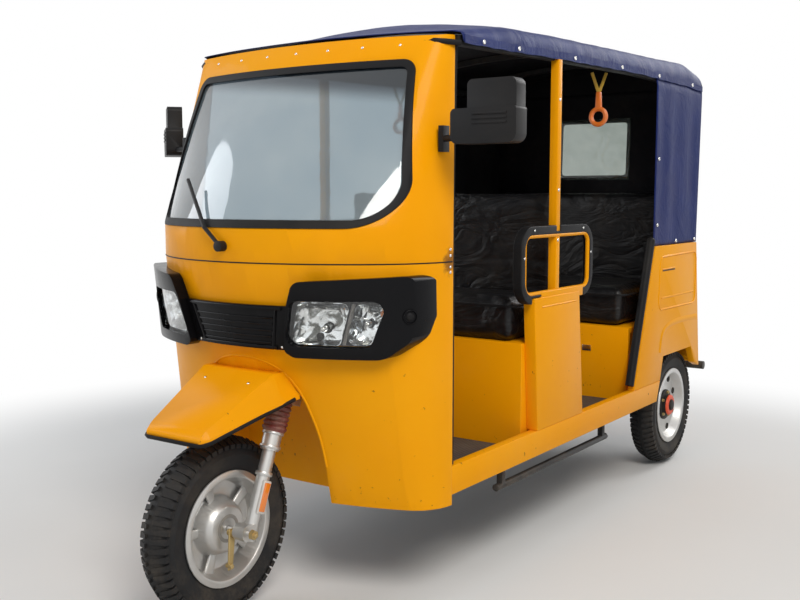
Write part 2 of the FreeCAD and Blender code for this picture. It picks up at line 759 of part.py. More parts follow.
def plan(half, depth, centre, corner, height, inset, run_back=0):
    """Rounded plan outline of the cab front at one height, closed across the back."""
    a = half - inset
    b = depth - inset
    r = max(corner - inset, 4)
    wide = ((a - r) ** 2 + b ** 2 - r ** 2) / (2 * (b - r))
    corner_mid = Vector(a - r, centre, height)
    front_mid = Vector(0, centre - b + wide, height)
    join = front_mid + (corner_mid - front_mid) * (wide / (wide - r))
    side = Vector(a, centre, height)
    halfway = ((side - corner_mid) + (join - corner_mid)).normalize() * r + corner_mid
    flip = lambda p: Vector(-p.x, p.y, p.z)
    tip = Vector(0, centre - b, height)
    edges = [
        Part.Arc(side, halfway, join).toShape(),
        Part.Arc(join, tip, flip(join)).toShape(),
        Part.Arc(flip(join), flip(halfway), flip(side)).toShape(),
    ]
    if run_back:
        back = Vector(a, centre + run_back, height)
        edges.append(Part.makeLine(flip(side), flip(back)))
        edges.append(Part.makeLine(flip(back), back))
        edges.append(Part.makeLine(back, side))
    else:
        edges.append(Part.makeLine(flip(side), side))
    return Part.Wire(edges)


def slope(low, high, share):
    return low + (high - low) * share


def nose_plan(height, inset, run_back=0):
    share = (height - v.nose_foot_height) / (v.seam_height - v.nose_foot_height)
    return plan(half_body, slope(v.nose_foot_depth, v.nose_seam_depth, share),
                at(v.door_front), slope(v.nose_foot_corner, v.nose_seam_corner, share),
                height, inset, run_back)


def nose_loft(inset, low, high, run_back=0):
    wires = [nose_plan(low, inset, run_back), nose_plan(high, inset, run_back)]
    return Part.makeLoft(wires, True, True)


def cab_loft(inset, run_back=0):
    """Cowl and windscreen frame, from the seam up to the roof header."""
    wires = [
        plan(half_body, v.nose_seam_depth, at(v.door_front), v.nose_seam_corner,
             v.seam_height, inset, run_back),
        plan(half_body, v.cowl_depth, at(v.door_front), v.nose_seam_corner,
             v.cowl_height, inset, run_back),
        plan(v.header_half, v.header_depth, at(v.header_back), v.header_corner,
             v.header_height + v.header_corner, inset, run_back),
    ]
    return Part.makeLoft(wires, True, True)


arch_points = [
    (-v.arch_half, v.nose_foot_height - v.wall),
    (v.arch_half, v.nose_foot_height - v.wall),
    (v.arch_half, v.arch_shoulder_height),
    (v.arch_waist_half, v.arch_waist_height),
    (v.arch_crown_half, v.arch_crown_height),
    (0, v.arch_top_height),
    (-v.arch_crown_half, v.arch_crown_height),
    (-v.arch_waist_half, v.arch_waist_height),
    (-v.arch_half, v.arch_shoulder_height),
]


def grown(points, by):
    """Arch outline moved outward by one thickness, its foot left where it is."""
    middle = v.arch_shoulder_height
    out = []
    for x, z in points:
        rise = max(z - middle, 0)
        spread = x + (by if x > 0 else -by if x < 0 else 0)
        out.append((spread, z + (by if rise > 0 else 0)))
    return out


arch_front = at(v.door_front) - v.nose_seam_depth - v.wall
arch_hollow = front_prism(arch_points, arch_front, at(v.arch_back))
arch_liner = front_prism(grown(arch_points, v.liner), arch_front, at(v.arch_back) + v.liner)

nose_solid = nose_loft(0, v.nose_foot_height, v.seam_height)
nose_inside = nose_loft(v.wall, v.nose_foot_height - v.wall, v.seam_height + v.wall, v.wall)
head_low = on_line(v.stem_behind_axle, v.head_tube_foot_height)
head_top = head_low + up_axis * v.head_tube_length
head_bore = v.stem_radius + v.stem_running_gap
head_tube = bar(head_low, head_top, v.head_tube_radius)
head_brace = block(-v.liner / 2, v.liner / 2, head_low.y + v.head_tube_radius * 0.4,
                   at(v.arch_back), v.arch_crown_height, v.arch_top_height + v.head_tube_length / 2)


def lamp_outline(grow):
    return [
        (v.lamp_in_low - grow, v.lamp_low_height - grow),
        (v.lamp_out_low + grow, v.lamp_low_height - grow),
        (v.lamp_out_top + grow, v.lamp_top_height + grow),
        (v.lamp_in_top - grow, v.lamp_top_height + grow),
    ]


def lamp_prism(grow):
    return front_prism(lamp_outline(grow), arch_front, at(v.door_front), [v.lamp_corner + grow] * 4)


lamp_pair_hole = lamp_prism(gap).fuse(mirrored(lamp_prism(gap)))
nose = nose_solid.cut(nose_inside)
nose = nose.fuse(arch_liner.common(nose_solid)).fuse([head_tube, head_brace])
nose = nose.cut(arch_hollow)
nose = nose.fuse(head_tube.common(arch_hollow))
nose = nose.cut(bar(head_low - up_axis * v.liner, head_top + up_axis * v.liner, head_bore))
nose = nose.cut(lamp_pair_hole)
pieces.append(feature("nose_panel", nose))

# Scoop shaped front mudguard, its raised rear edge seated on the nose round the arch


def guard_section(back, half, lip_height, crest_half, crest_height):
    """One cross section of the mudguard: upright edge, sloping side and flat crown."""
    edge_top = lip_height + v.guard_lip
    side = [(half, lip_height), (half, edge_top), (crest_half, crest_height)]
    loop = side + [(-x, z) for x, z in reversed(side)]
    points = [Vector(x, at(back), z) for x, z in loop]
    return Part.makePolygon(points + points[:1])


def guard_body(skin, drop):
    """Mudguard's outer form, or its hollow where a skin is taken off."""
    corner_back = -v.guard_tip_reach + v.guard_corner_run
    run = v.guard_seat_back - corner_back
    share = (v.guard_crest_back - corner_back) / run
    lift = v.guard_seat_height - v.guard_tip_height
    fall = lift / (v.guard_seat_back + v.guard_tip_reach)
    corner_height = v.guard_tip_height + v.guard_corner_run * fall
    crest_lip = corner_height + share * run * fall
    crest_wide = v.guard_corner_half + share * (v.guard_wide_half - v.guard_corner_half)
    corner_crest = corner_height + v.guard_lip + v.guard_band_rise
    stations = [
        (skin - v.guard_tip_reach, v.guard_tip_half, v.guard_tip_height,
         v.guard_tip_half - skin, v.guard_tip_height + v.guard_lip + v.guard_thickness),
        (corner_back, v.guard_corner_half, corner_height,
         v.guard_corner_half - v.guard_band_in, corner_crest),
        (v.guard_crest_back, crest_wide, crest_lip, v.guard_crest_half, v.guard_crest_height),
        (v.guard_seat_back + v.guard_crest_in, v.guard_wide_half, v.guard_seat_height,
         v.guard_crest_half, v.guard_crest_height),
    ]
    sections = [guard_section(back, half - skin, lip - drop, crest - skin, height - skin)
                for back, half, lip, crest, height in stations]
    return Part.makeLoft(sections, True, True)


guard = guard_body(0, 0).cut(guard_body(v.guard_thickness, v.guard_thickness))
guard = guard.cut(nose_loft(-gap, v.nose_foot_height, v.seam_height))
pieces.append(feature("front_mudguard", guard))

# Lamps and their one piece black mask: a raised bezel round each lamp and a low grille between
mask_outline = [
    (v.mask_lamp_in, v.grille_low_height),
    (v.mask_lamp_in + v.mask_low_run, v.mask_low_height),
    (v.mask_low_out, v.mask_low_height),
    (v.mask_out_low, v.mask_side_height - v.mask_side_drop),
    (v.mask_out_top, v.mask_side_height),
    (v.mask_out_top, v.mask_top_out_height),
    (v.mask_lamp_top_in, v.mask_top_in_height),
    (v.mask_lamp_in + v.mask_low_run, v.grille_top_height),
]
mask_radii = [16, 30, 60, 60, 50, 20, 34, 40]
mask_front = arch_front - 2 * v.wall
bezel_prism = front_prism(mask_outline, mask_front, at(v.door_front), mask_radii)
grille_half = v.mask_lamp_in + v.mask_low_run
grille_prism = block(-grille_half, grille_half, mask_front, at(v.door_front),
                     v.grille_low_height, v.grille_top_height)
mask_back = nose_loft(-2 * gap, v.mask_low_height - 2 * v.wall,
                      v.mask_top_out_height + 2 * v.wall, v.wall)


def mask_layer(proud):
    layer = nose_loft(-proud, v.mask_low_height - v.wall, v.mask_top_out_height + v.wall)
    return layer.cut(mask_back)


bezel = mask_layer(v.bezel_proud).common(bezel_prism)
mask = mask_layer(v.mask_proud).common(grille_prism)
mask = mask.fuse([bezel, mirrored(bezel)]).cut(lamp_pair_hole)
pieces.append(feature("lamp_mask", mask))

lamp = nose_loft(-v.bezel_proud + v.lamp_sink, v.lamp_low_height - v.wall,
                 v.lamp_top_height + v.wall)
lamp = lamp.cut(nose_loft(v.lamp_depth, v.lamp_low_height - 2 * v.wall,
                          v.lamp_top_height + 2 * v.wall, v.lamp_depth * 2))
lamp = lamp.common(lamp_prism(0))
pieces.extend(pair("headlamp", lamp))

# Windscreen: opening, rubber seal and curved glass
screen_outline = [
    (-v.screen_foot_half, v.screen_foot_height),
    (v.screen_foot_half, v.screen_foot_height),
    (v.screen_head_half, v.screen_head_height),
    (-v.screen_head_half, v.screen_head_height),
]


def screen_prism(shrink):
    lean = (v.screen_foot_half - v.screen_head_half) / (
        v.screen_head_height - v.screen_foot_height)
    points = [
        (x - math.copysign(shrink * (1 - lean), x),
         z + (shrink if z == v.screen_foot_height else -shrink))
        for x, z in screen_outline
    ]
    foot = v.screen_foot_corner - shrink
    head = v.screen_head_corner - shrink
    return front_prism(points, at(-v.wall), at(v.header_back) + v.wall,
                       [foot, foot, head, head])


hood_lift = v.wall * 3


def station_size(name):
    return [getattr(v, name + part) for part in ("_y", "_hem", "_shoulder", "_crown")]


def hood_size(back):
    """Hem, shoulder and crown height of the hood at any distance behind the front axle."""
    rows = [station_size(name) for name in HOOD_STATIONS]
    for low, high in zip(rows, rows[1:]):
        if back <= high[0] or high is rows[-1]:
            share = (back - low[0]) / (high[0] - low[0])
            return [slope(low[i], high[i], share) for i in (1, 2, 3)]


def hood_wire(back, inset, size=None, foot=None):
    """Section of the hood across the vehicle, moved inward by one thickness."""
    hem, shoulder, crown = size or hood_size(back)
    half = v.roof_half + v.hood_proud - inset
    round_by = min(v.hood_shoulder, (shoulder - hem) * 0.8)
    r = max(round_by - inset, 3)
    top = shoulder - inset
    low = hem if foot is None else foot
    y = at(back)
    turn = math.sin(math.pi / 4)
    centre = Vector(half - r, y, top - r)
    side = Vector(half, y, top - r)
    mid = centre + Vector(r * turn, 0, r * turn)
    shoulder_point = Vector(half - r, y, top)
    flip = lambda p: Vector(-p.x, p.y, p.z)
    foot_point = Vector(half, y, low)
    edges = [
        Part.makeLine(foot_point, side),
        Part.Arc(side, mid, shoulder_point).toShape(),
        Part.Arc(shoulder_point, Vector(0, y, crown - inset), flip(shoulder_point)).toShape(),
        Part.Arc(flip(shoulder_point), flip(mid), flip(side)).toShape(),
        Part.makeLine(flip(side), flip(foot_point)),
        Part.makeLine(flip(foot_point), foot_point),
    ]
    return Part.Wire(edges)


def hood_loft(inset, foot_drop, tail_cut=0, lead=0):
    rows = [station_size(name) for name in HOOD_STATIONS]
    backs = [row[0] for row in rows]
    backs[0] -= lead
    backs[-1] -= tail_cut
    wires = []
    for back in backs:
        size = hood_size(back)
        wires.append(hood_wire(back, inset, size, size[0] - foot_drop))
    return Part.makeLoft(wires, True, True)


hood_under = hood_loft(v.hood_fabric + v.hood_seat_gap, v.header_height / 2, 0, v.header_y)
frame = cab_loft(0).cut(cab_loft(v.wall, v.wall * 2))
frame_top = block(-half_body, half_body, arch_front, at(v.header_back) + v.wall,
                  v.screen_head_height, v.header_height + hood_lift)
frame = frame.cut(screen_prism(0))
frame = frame.cut(frame_top.cut(hood_under))
pieces.append(feature("windscreen_frame", frame))
seal = cab_loft(-v.seal_proud).cut(cab_loft(v.seal_depth, v.wall * 2))
seal = seal.common(screen_prism(gap).cut(screen_prism(v.seal_width)))
pieces.append(feature("windscreen_seal", seal))
glass = cab_loft(v.glass_inset).cut(cab_loft(v.glass_inset + v.glass_thickness, v.wall * 2))
glass = glass.common(screen_prism(v.seal_width + gap))
pieces.append(feature("windscreen_glass", glass))

# Shelf above the lamps, in front of the steering stem
dash = nose_loft(v.wall + gap, v.nose_foot_height - v.wall, v.seam_height + v.wall, v.wall)
dash = dash.common(block(-v.dash_half, v.dash_half, arch_front, at(v.dash_rear),
                         v.dash_height - v.dash_thickness, v.dash_height))
pieces.append(feature("dash_shelf", dash))

# Floor with two rails below it, running back to the rear crossmember
rear_beam_rear = at(v.body_rear_foot) - v.rear_wall_thickness
rear_beam_front = rear_beam_rear - v.rail_width
floor_low = v.floor_height - v.floor_thickness
foot_plate = nose_loft(v.wall + gap + 1, v.nose_foot_height, v.seam_height)
foot_plate = foot_plate.common(block(-half_body, half_body, arch_front, at(v.door_front),
                                     floor_low, v.floor_height))
foot_plate = foot_plate.cut(front_prism(grown(arch_points, v.liner + gap), arch_front,
                                        at(v.arch_back) + v.liner + gap))
floor_half = half_body - v.sill_width - gap
floor = block(-floor_half, floor_half, at(v.door_front), at(v.engine_front) - gap,
              floor_low, v.floor_height)
rails = []
for side in (-1, 1):
    middle = side * v.rail_half
    rails.append(block(middle - v.rail_width / 2, middle + v.rail_width / 2,
                       at(v.arch_back) + v.liner + v.wall, rear_beam_rear,
                       floor_low - v.rail_depth, floor_low))
floor = floor.fuse([foot_plate] + rails)
pieces.append(feature("floor_pan", floor))

beam_half = "(rear_track / 2 - tyre_width / 2 - wheel_gap)"
beam = box("rear_crossmember", "2 * " + beam_half,
           "rail_width", "body_foot_height - floor_height + floor_thickness",
           "-" + beam_half,
           behind("body_rear_foot - rear_wall_thickness - rail_width"),
           "floor_height - floor_thickness")
tow_hole = doc.addObject("Part::Cylinder", "tow_bore")
bind(tow_hole, "Radius", "tow_bore_radius")
bind(tow_hole, "Height", "tow_bore_depth * 2")
place(tow_hole, "0", behind("body_rear_foot - rear_wall_thickness - rail_width / 2"),
      "floor_height - floor_thickness - tow_bore_depth")
crossmember = doc.addObject("Part::Cut", "rear_crossmember_bored")
crossmember.Base = beam
crossmember.Tool = tow_hole
beam.Label = "rear_crossmember_bar"
crossmember.Label = "rear_crossmember"
pieces.append(crossmember)

sill_points = [
    (at(v.door_front) + gap, v.sill_foot_height),
    (at(v.sill_rear), v.sill_foot_height),
    (at(v.wheel_arch_front_foot), v.sill_top_height),
    (at(v.door_front) + gap, v.sill_top_height),
]
pieces.extend(pair("sill", side_prism(sill_points, half_body - v.sill_width, half_body)))

# Driver's seat on its painted box
panel_inner = half_body - v.panel_depth
seat_width = "(body_width - 2 * panel_depth - 2 * floor_gap)"
pieces.append(box("driver_seat_box", seat_width, "seat_box_rear - seat_box_front",
                  "seat_box_height - floor_height", "-" + seat_width + " / 2",
                  behind("seat_box_front"), "floor_height"))


def cushion(x_half, y_low, y_high, z_low, z_high, radius):
    body = block(-x_half, x_half, y_low, y_high, z_low, z_high)
    return body.makeFillet(radius, body.Edges)


soft_side = panel_inner - v.wall
seat_cushion = cushion(soft_side, at(v.seat_box_front) - v.seat_cushion_lip,
                       at(v.back_front) - gap, v.seat_box_height + gap,
                       v.seat_cushion_height, v.cushion_round)
pieces.append(feature("driver_cushion", seat_cushion))
seat_back = cushion(soft_side, at(v.back_front), at(v.back_front) + v.back_thickness,
                    v.seat_box_height + gap, v.back_top_height, v.cushion_round / 2)
pieces.append(feature("driver_backrest", seat_back))

# Middle side panels, each with the post that stands on it and the grab loop
panel_points = [
    (at(v.panel_front_foot), v.sill_top_height),
    (at(v.panel_rear_foot), v.sill_top_height),
    (at(v.panel_rear_top), v.panel_top_height),
    (at(v.panel_front_top), v.panel_top_height),
]
pieces.extend(pair("mid_panel", side_prism(panel_points, panel_inner, half_body)))

post_y_low = at(v.post_y) - v.post_side / 2
post_y_high = post_y_low + v.post_side
post_inner = v.post_outer_half - v.post_side
strip_inner = (post_inner + v.post_outer_half) / 2
strip_outer = strip_inner + v.loop_width * 0.6


def loop_prism(grow, x_low, x_high):
    """Rounded oblong of the grab loop, grown outward by one thickness."""
    low_y = at(v.loop_front) - grow
    high_y = at(v.loop_rear) + grow
    solid = block(x_low, x_high, low_y, high_y, v.loop_foot_height - grow,
                  v.loop_top_height + grow)
    along = [e for e in solid.Edges
             if abs(e.tangentAt(e.FirstParameter).x) > 0.5]
    return solid.makeFillet(v.loop_corner + grow, along)


def ring(outer, inner, x_low, x_high):
    return loop_prism(outer, x_low, x_high).cut(loop_prism(inner, x_low - 1, x_high + 1))


strip = ring(0, -v.loop_strip, strip_inner, strip_outer)
post = block(post_inner, v.post_outer_half, post_y_low, post_y_high,
             v.panel_top_height, v.post_hem - v.rail_drop / 2)
post = post.cut(ring(gap, -v.loop_strip - gap, strip_inner - gap, strip_outer))
pad = ring(v.pad_thickness, 0, post_inner, strip_outer)
pad_gap = block(post_inner - 1, strip_outer + 1, post_y_low - gap, post_y_high + gap,
                v.loop_top_height, v.loop_top_height + v.pad_thickness * 2)
pad = pad.cut(block(post_inner - 1, strip_outer + 1, at(v.loop_front) + v.loop_corner,
                    at(v.loop_rear) - v.loop_corner, v.loop_foot_height - v.pad_thickness * 2,
                    v.loop_foot_height + v.loop_corner))
pad = pad.cut(pad_gap)
pad = pad.cut(side_prism([(y, z + gap) if z == v.panel_top_height else (y, z)
                          for y, z in panel_points], panel_inner, half_body))
loop = strip.fuse(pad)
pieces.extend(pair("grab_loop", loop))

# Rear bench, the closed power unit below it and the rear body

wall_lean = (v.body_rear_foot - v.body_rear_top) / (v.quarter_top_height - v.body_foot_height)


def rear_inner(height):
    """Inner face of the sloping rear wall at one height."""
    drop = v.quarter_top_height - height
    return at(v.body_rear_top) + drop * wall_lean - v.rear_wall_thickness


bench_board = block(-v.bench_half, v.bench_half, at(v.bench_front),
                    at(v.bench_front) + v.bench_board, v.floor_height, v.bench_height)
bench_shelf = block(-v.bench_half, v.bench_half, at(v.bench_front),
                    rear_inner(v.bench_height) - gap, v.bench_height - v.bench_board,
                    v.bench_height)
pieces.append(feature("rear_bench_base", bench_board.fuse(bench_shelf)))

back_rear = rear_inner(v.quarter_top_height) - gap
back_front = back_rear - v.bench_back_thickness
bench_cushion = cushion(soft_side, at(v.bench_front) - v.seat_cushion_lip,
                        back_front - gap, v.bench_height + gap,
                        v.bench_cushion_height, v.cushion_round)
pieces.append(feature("rear_bench_cushion", bench_cushion))
bench_back = cushion(soft_side, back_front, back_rear, v.bench_height + gap,
                     v.bench_back_top_height, v.cushion_round)
pieces.append(feature("rear_bench_back", bench_back))
pieces.append(box("power_unit", "2 * rail_half - rail_width - 2 * floor_gap",
                  "engine_rear - engine_front", "engine_top_height - engine_foot_height",
                  "-(rail_half - rail_width / 2 - floor_gap)", behind("engine_front"),
                  "engine_foot_height"))

quarter_points = [
    (at(v.quarter_front_foot), v.sill_top_height + gap),
    (at(v.wheel_arch_front_foot), v.sill_top_height + gap),
    (at(v.wheel_arch_front_top), v.wheel_arch_top_height),
    (at(v.wheel_arch_rear_top), v.wheel_arch_top_height),
    (at(v.wheel_arch_rear_foot), v.body_foot_height + v.wall),
    (at(v.body_rear_foot), v.body_foot_height),
    (at(v.body_rear_top), v.quarter_top_height),
    (at(v.quarter_front_top), v.quarter_top_height),
]
quarter_inner = half_body - v.quarter_thickness
pieces.extend(pair("rear_quarter", side_prism(quarter_points, quarter_inner, half_body)))

edge_foot = Vector(0, at(v.quarter_front_foot), v.sill_top_height)
edge_head = Vector(0, at(v.quarter_front_top), v.quarter_top_height)
edge_way = (edge_head - edge_foot).normalize()
edge_out = Vector(0, -edge_way.z, edge_way.y)
edge_shift = edge_out * (v.edge_pad_radius + gap) + Vector(half_body - v.edge_pad_radius, 0, 0)
edge_start = edge_foot + edge_shift + edge_way * v.edge_pad_radius
edge_stop = edge_head + edge_shift + edge_way * v.edge_pad_radius
edge_pad = bar(edge_start, edge_stop, v.edge_pad_radius)
edge_pad = edge_pad.fuse(Part.makeSphere(v.edge_pad_radius, edge_stop))
pieces.extend(pair("edge_pad", edge_pad))

rear_points = [
    (rear_inner(v.body_foot_height), v.body_foot_height),
    (at(v.body_rear_foot), v.body_foot_height),
    (at(v.body_rear_top), v.quarter_top_height),
    (back_rear + gap, v.quarter_top_height),
]
rear_half = quarter_inner - gap
rear_wall = side_prism(rear_points, -rear_half, rear_half)
wheel_in = v.rear_track / 2 - v.tyre_width / 2 - v.wheel_gap
for low_x in (-half_body, wheel_in):
    well = bar(Vector(low_x, at(v.wheelbase), v.tyre_radius),
               Vector(low_x + half_body - wheel_in, at(v.wheelbase), v.tyre_radius),
               v.tyre_radius + v.wheel_gap)
    rear_wall = rear_wall.cut(well)
pieces.append(feature("rear_wall", rear_wall))


def rear_outer(height):
    return rear_inner(height) + v.rear_wall_thickness


lamp_low = v.rear_lamp_height - v.rear_lamp_tall / 2
lamp_high = v.rear_lamp_height + v.rear_lamp_tall / 2
rear_lamp_points = [
    (rear_outer(lamp_low) + gap, lamp_low),
    (rear_outer(lamp_low) + v.rear_lamp_proud, lamp_low),
    (rear_outer(lamp_high) + v.rear_lamp_proud, lamp_high),
    (rear_outer(lamp_high) + gap, lamp_high),
]
rear_lamp = side_prism(rear_lamp_points, v.rear_lamp_half - v.rear_lamp_width / 2,
                       v.rear_lamp_half + v.rear_lamp_width / 2)
pieces.extend(pair("rear_lamp", rear_lamp))

bumper_y = at(v.wheelbase) + v.rear_overhang - v.bumper_radius
bumper = bar(Vector(-v.bumper_half, bumper_y, v.bumper_height),
             Vector(v.bumper_half, bumper_y, v.bumper_height), v.bumper_radius)
bumper_arms = [
    bar(Vector(side * v.bumper_arm_half, rear_beam_rear - v.wall, v.bumper_arm_height),
        Vector(side * v.bumper_arm_half, bumper_y, v.bumper_height), v.bumper_arm_radius)
    for side in (-1, 1)
]
behind_beam = block(-half_body, half_body, rear_beam_rear + gap, bumper_y + v.wall * 2,
                    v.floor_height - v.wall, v.body_foot_height + v.wall)
bumper = bumper.fuse(bumper_arms).common(behind_beam)
pieces.append(feature("rear_bumper", bumper))

# Rear axle: the drive case, its tube and the two swinging arms
axle_mid = Vector(0, at(v.wheelbase), v.tyre_radius)
hub_face = v.rear_track / 2 - v.rear_drum_radius / 2 - gap
axle_parts = [
    bar(axle_mid - Vector(hub_face, 0, 0), axle_mid + Vector(hub_face, 0, 0),
        v.axle_tube_radius),
    bar(axle_mid - Vector(v.drive_case_width / 2, 0, 0),
        axle_mid + Vector(v.drive_case_width / 2, 0, 0), v.drive_case_radius),
    bar(axle_mid - Vector(v.rear_track / 2 + v.rear_disc_inset + v.rear_hub_width, 0, 0),
        axle_mid + Vector(v.rear_track / 2 + v.rear_disc_inset + v.rear_hub_width, 0, 0),
        v.axle_radius),
]
arm_top = floor_low - v.rail_depth - gap
for side in (-1, 1):
    pivot = Vector(side * v.arm_half, at(v.arm_front), arm_top - v.arm_radius)
    axle_parts.append(bar(pivot, Vector(side * v.arm_half, at(v.wheelbase), v.tyre_radius),
                          v.arm_radius))
    axle_parts.append(bar(pivot - Vector(v.rail_width / 2, 0, 0),
                          pivot + Vector(v.rail_width / 2, 0, 0), v.arm_radius))
rear_axle = axle_parts[0].fuse(axle_parts[1:])
pieces.append(feature("rear_axle", rear_axle))

# Roof rails, bows, hood and the curtain round the passengers' seat
rail_rows = [station_size(name)[:2] for name in HOOD_STATIONS[1:-1]]
rail_start = [v.header_back, hood_size(v.header_back)[0]]
rail_stop = [v.tail_y - v.wall, hood_size(v.tail_y - v.wall)[0]]
rail_rows = [rail_start] + rail_rows + [rail_stop]
rail_low = [(at(y) + (gap if i == 0 else 0), z - v.rail_drop) for i, (y, z) in enumerate(rail_rows)]
rail_high = [(y, z + v.rail_tube) for y, z in rail_low]
roof_rail = side_prism(rail_low + rail_high[::-1], v.roof_half - v.rail_tube, v.roof_half)
pieces.extend(pair("roof_rail", roof_rail))
pieces.extend(pair("post", post.cut(roof_rail)))

for name in HOOD_STATIONS[1:-1]:
    back = station_size(name)[0]
    ends = [hood_size(back - v.bow_radius), hood_size(back + v.bow_radius)]
    lowest = [min(pair_of) for pair_of in zip(*ends)]
    rail_top = station_size(name)[1] - v.rail_drop + v.rail_tube
    foot = rail_top + v.bow_radius
    outer = v.hood_fabric + v.hood_seat_gap
    bow = Part.Face(hood_wire(back - v.bow_radius, outer, lowest, rail_top - v.wall))
    hollow = Part.Face(hood_wire(back - v.bow_radius, outer + v.bow_radius * 2, lowest,
                                 rail_top - v.wall * 2))
    bow = bow.cut(hollow).extrude(Vector(0, v.bow_radius * 2, 0))
    reach = v.roof_half + v.hood_proud
    below = block(-reach, reach, at(back) - v.bow_radius * 2, at(back) + v.bow_radius * 2,
                  rail_top - v.wall * 3, rail_top + gap + v.wall * 0.1)
    pieces.append(feature("roof_bow_" + name, bow.cut(below)))

hood = hood_loft(0, 0).cut(hood_loft(v.hood_fabric, v.header_height / 2, v.hood_fabric, v.wall))
front_edge = plan(v.header_half, v.header_depth, at(v.header_back), v.header_corner,
                  v.header_height / 2, -v.hood_overhang)
front_keep = Part.Face(front_edge).extrude(Vector(0, 0, v.header_height))
rear_keep = block(-v.body_width, v.body_width, at(v.header_back), at(v.tail_y) + v.wall,
                  v.header_height / 2, v.header_height * 2)
hood = hood.common(front_keep.fuse(rear_keep))
pieces.append(feature("hood", hood))

hem_front = hood_size(v.curtain_front)[0] - gap
hem_rear = hood_size(v.tail_y)[0] - gap
curtain_low = v.quarter_top_height + gap
lean = v.body_rear_top + v.curtain_fabric
curtain_outer = [
    (at(v.curtain_front), curtain_low),
    (at(lean), curtain_low),
    (at(v.tail_y), hem_rear),
    (at(v.rear_y), hood_size(v.rear_y)[0] - gap),
    (at(v.curtain_front), hem_front),
]
curtain_inner = [
    (at(v.curtain_front) - v.wall, curtain_low - v.wall),
    (at(lean) - v.curtain_fabric, curtain_low - v.wall),
    (at(lean) - v.curtain_fabric, curtain_low),
    (at(v.tail_y) - v.curtain_fabric, hem_rear),
    (at(v.tail_y) - v.curtain_fabric, hem_rear + v.wall),
    (at(v.curtain_front) - v.wall, hem_rear + v.wall),
]
curtain_half = v.roof_half + v.hood_proud
curtain = side_prism(curtain_outer, -curtain_half, curtain_half)
curtain = curtain.cut(side_prism(curtain_inner, -curtain_half + v.curtain_fabric,
                                 curtain_half - v.curtain_fabric))


def window_prism(shrink):
    points = [
        (-v.window_half + shrink, v.window_foot_height + shrink),
        (v.window_half - shrink, v.window_foot_height + shrink),
        (v.window_half - shrink, v.window_top_height - shrink),
        (-v.window_half + shrink, v.window_top_height - shrink),
    ]
    return front_prism(points, at(v.body_rear_top), at(v.tail_y) + v.wall,
                       [v.window_corner - shrink] * 4)


pane = side_prism([(y - (v.curtain_fabric - v.pane_thickness) / 2, z) for y, z in
                   curtain_outer[1:3]] +
                  [(y - (v.curtain_fabric + v.pane_thickness) / 2, z) for y, z in
                   curtain_outer[2:0:-1]], -curtain_half, curtain_half)
curtain = curtain.cut(window_prism(0))
for side in (-1, 1):
    flip = Vector(edge_start.x * (side - 1), 0, 0)
    curtain = curtain.cut(bar(edge_start + flip, edge_stop + flip, v.edge_pad_radius + gap))
    curtain = curtain.cut(Part.makeSphere(v.edge_pad_radius + gap, edge_stop + flip))
pieces.append(feature("rear_curtain", curtain))
pieces.append(feature("rear_window", pane.common(window_prism(gap))))

# Mirrors: base on the pillar, arm and two part housing, the right one swung back
pillar_x = half_body - (v.mirror_base_height - v.cowl_height) / (
    v.header_height + v.header_corner - v.cowl_height) * (half_body - v.header_half)
mirror_y = at(v.mirror_back)
base = block(pillar_x - v.wall * 0.2, pillar_x + v.mirror_arm_radius * 1.4,
             mirror_y + v.wall * 1.2, mirror_y + v.wall * 2.6,
             v.mirror_base_height - v.mirror_base_tall / 2,
             v.mirror_base_height + v.mirror_base_tall / 2)
arm = bar(Vector(pillar_x, mirror_y + v.wall * 1.9, v.mirror_base_height),
          Vector(v.mirror_inner_half + v.wall, mirror_y, v.mirror_base_height),
          v.mirror_arm_radius)
housing_low = front_prism([
    (v.mirror_inner_half, v.mirror_foot_height),
    (v.mirror_outer_half, v.mirror_foot_height),
    (v.mirror_outer_half, v.mirror_waist_height),
    (v.mirror_inner_half, v.mirror_waist_height),
], mirror_y - v.mirror_thickness / 2, mirror_y + v.mirror_thickness / 2, [22, 26, 8, 14])
housing_top = front_prism([
    (v.mirror_shoulder_half, v.mirror_waist_height - v.wall),
    (v.mirror_outer_half - 4, v.mirror_waist_height - v.wall),
    (v.mirror_outer_half - 4, v.mirror_top_height),
    (v.mirror_shoulder_half, v.mirror_top_height),
], mirror_y - v.mirror_thickness / 2 + 8, mirror_y + v.mirror_thickness / 2, [2, 2, 20, 16])
base = base.cut(cab_loft(-gap, v.wall))
reach_out = arm.fuse([housing_low, housing_top]).cut(cab_loft(-gap, v.wall))
folded = mirrored(reach_out)
folded.rotate(Vector(-pillar_x, mirror_y + v.wall * 1.9, v.mirror_base_height),
              Vector(0, 0, 1), -v.mirror_fold_deg)
pieces.append(feature("mirror_left", reach_out.fuse(base)))
pieces.append(feature("mirror_right", folded.cut(cab_loft(-gap, v.wall)).fuse(mirrored(base))))

# Wiper on the cowl
cowl_front = at(v.door_front) - slope(
    v.nose_seam_depth, v.cowl_depth,
    (v.wiper_height - v.seam_height) / (v.cowl_height - v.seam_height))
hub_start = Vector(0, cowl_front - gap, v.wiper_height)
hub = bar(hub_start, hub_start - Vector(0, v.wall, 0), v.wiper_hub_radius)
tilt = math.radians(v.wiper_tilt_deg)
screen_lean = (v.header_back - v.header_depth - v.door_front + v.cowl_depth) / (
    v.header_height + v.header_corner - v.cowl_height)
wiper_way = Vector(-math.sin(tilt), screen_lean * math.cos(tilt) + v.wiper_bow,
                   math.cos(tilt)).normalize()
arm_start = hub_start - Vector(0, v.wall * 0.6, 0)
arm_rise = v.screen_foot_height - v.wiper_height
arm_knee = arm_start + Vector(-arm_rise * math.tan(tilt), 0, arm_rise)
arm_stop = arm_knee + wiper_way * v.wiper_arm_length
blade_way = wiper_way * (v.wiper_blade_length / 2)
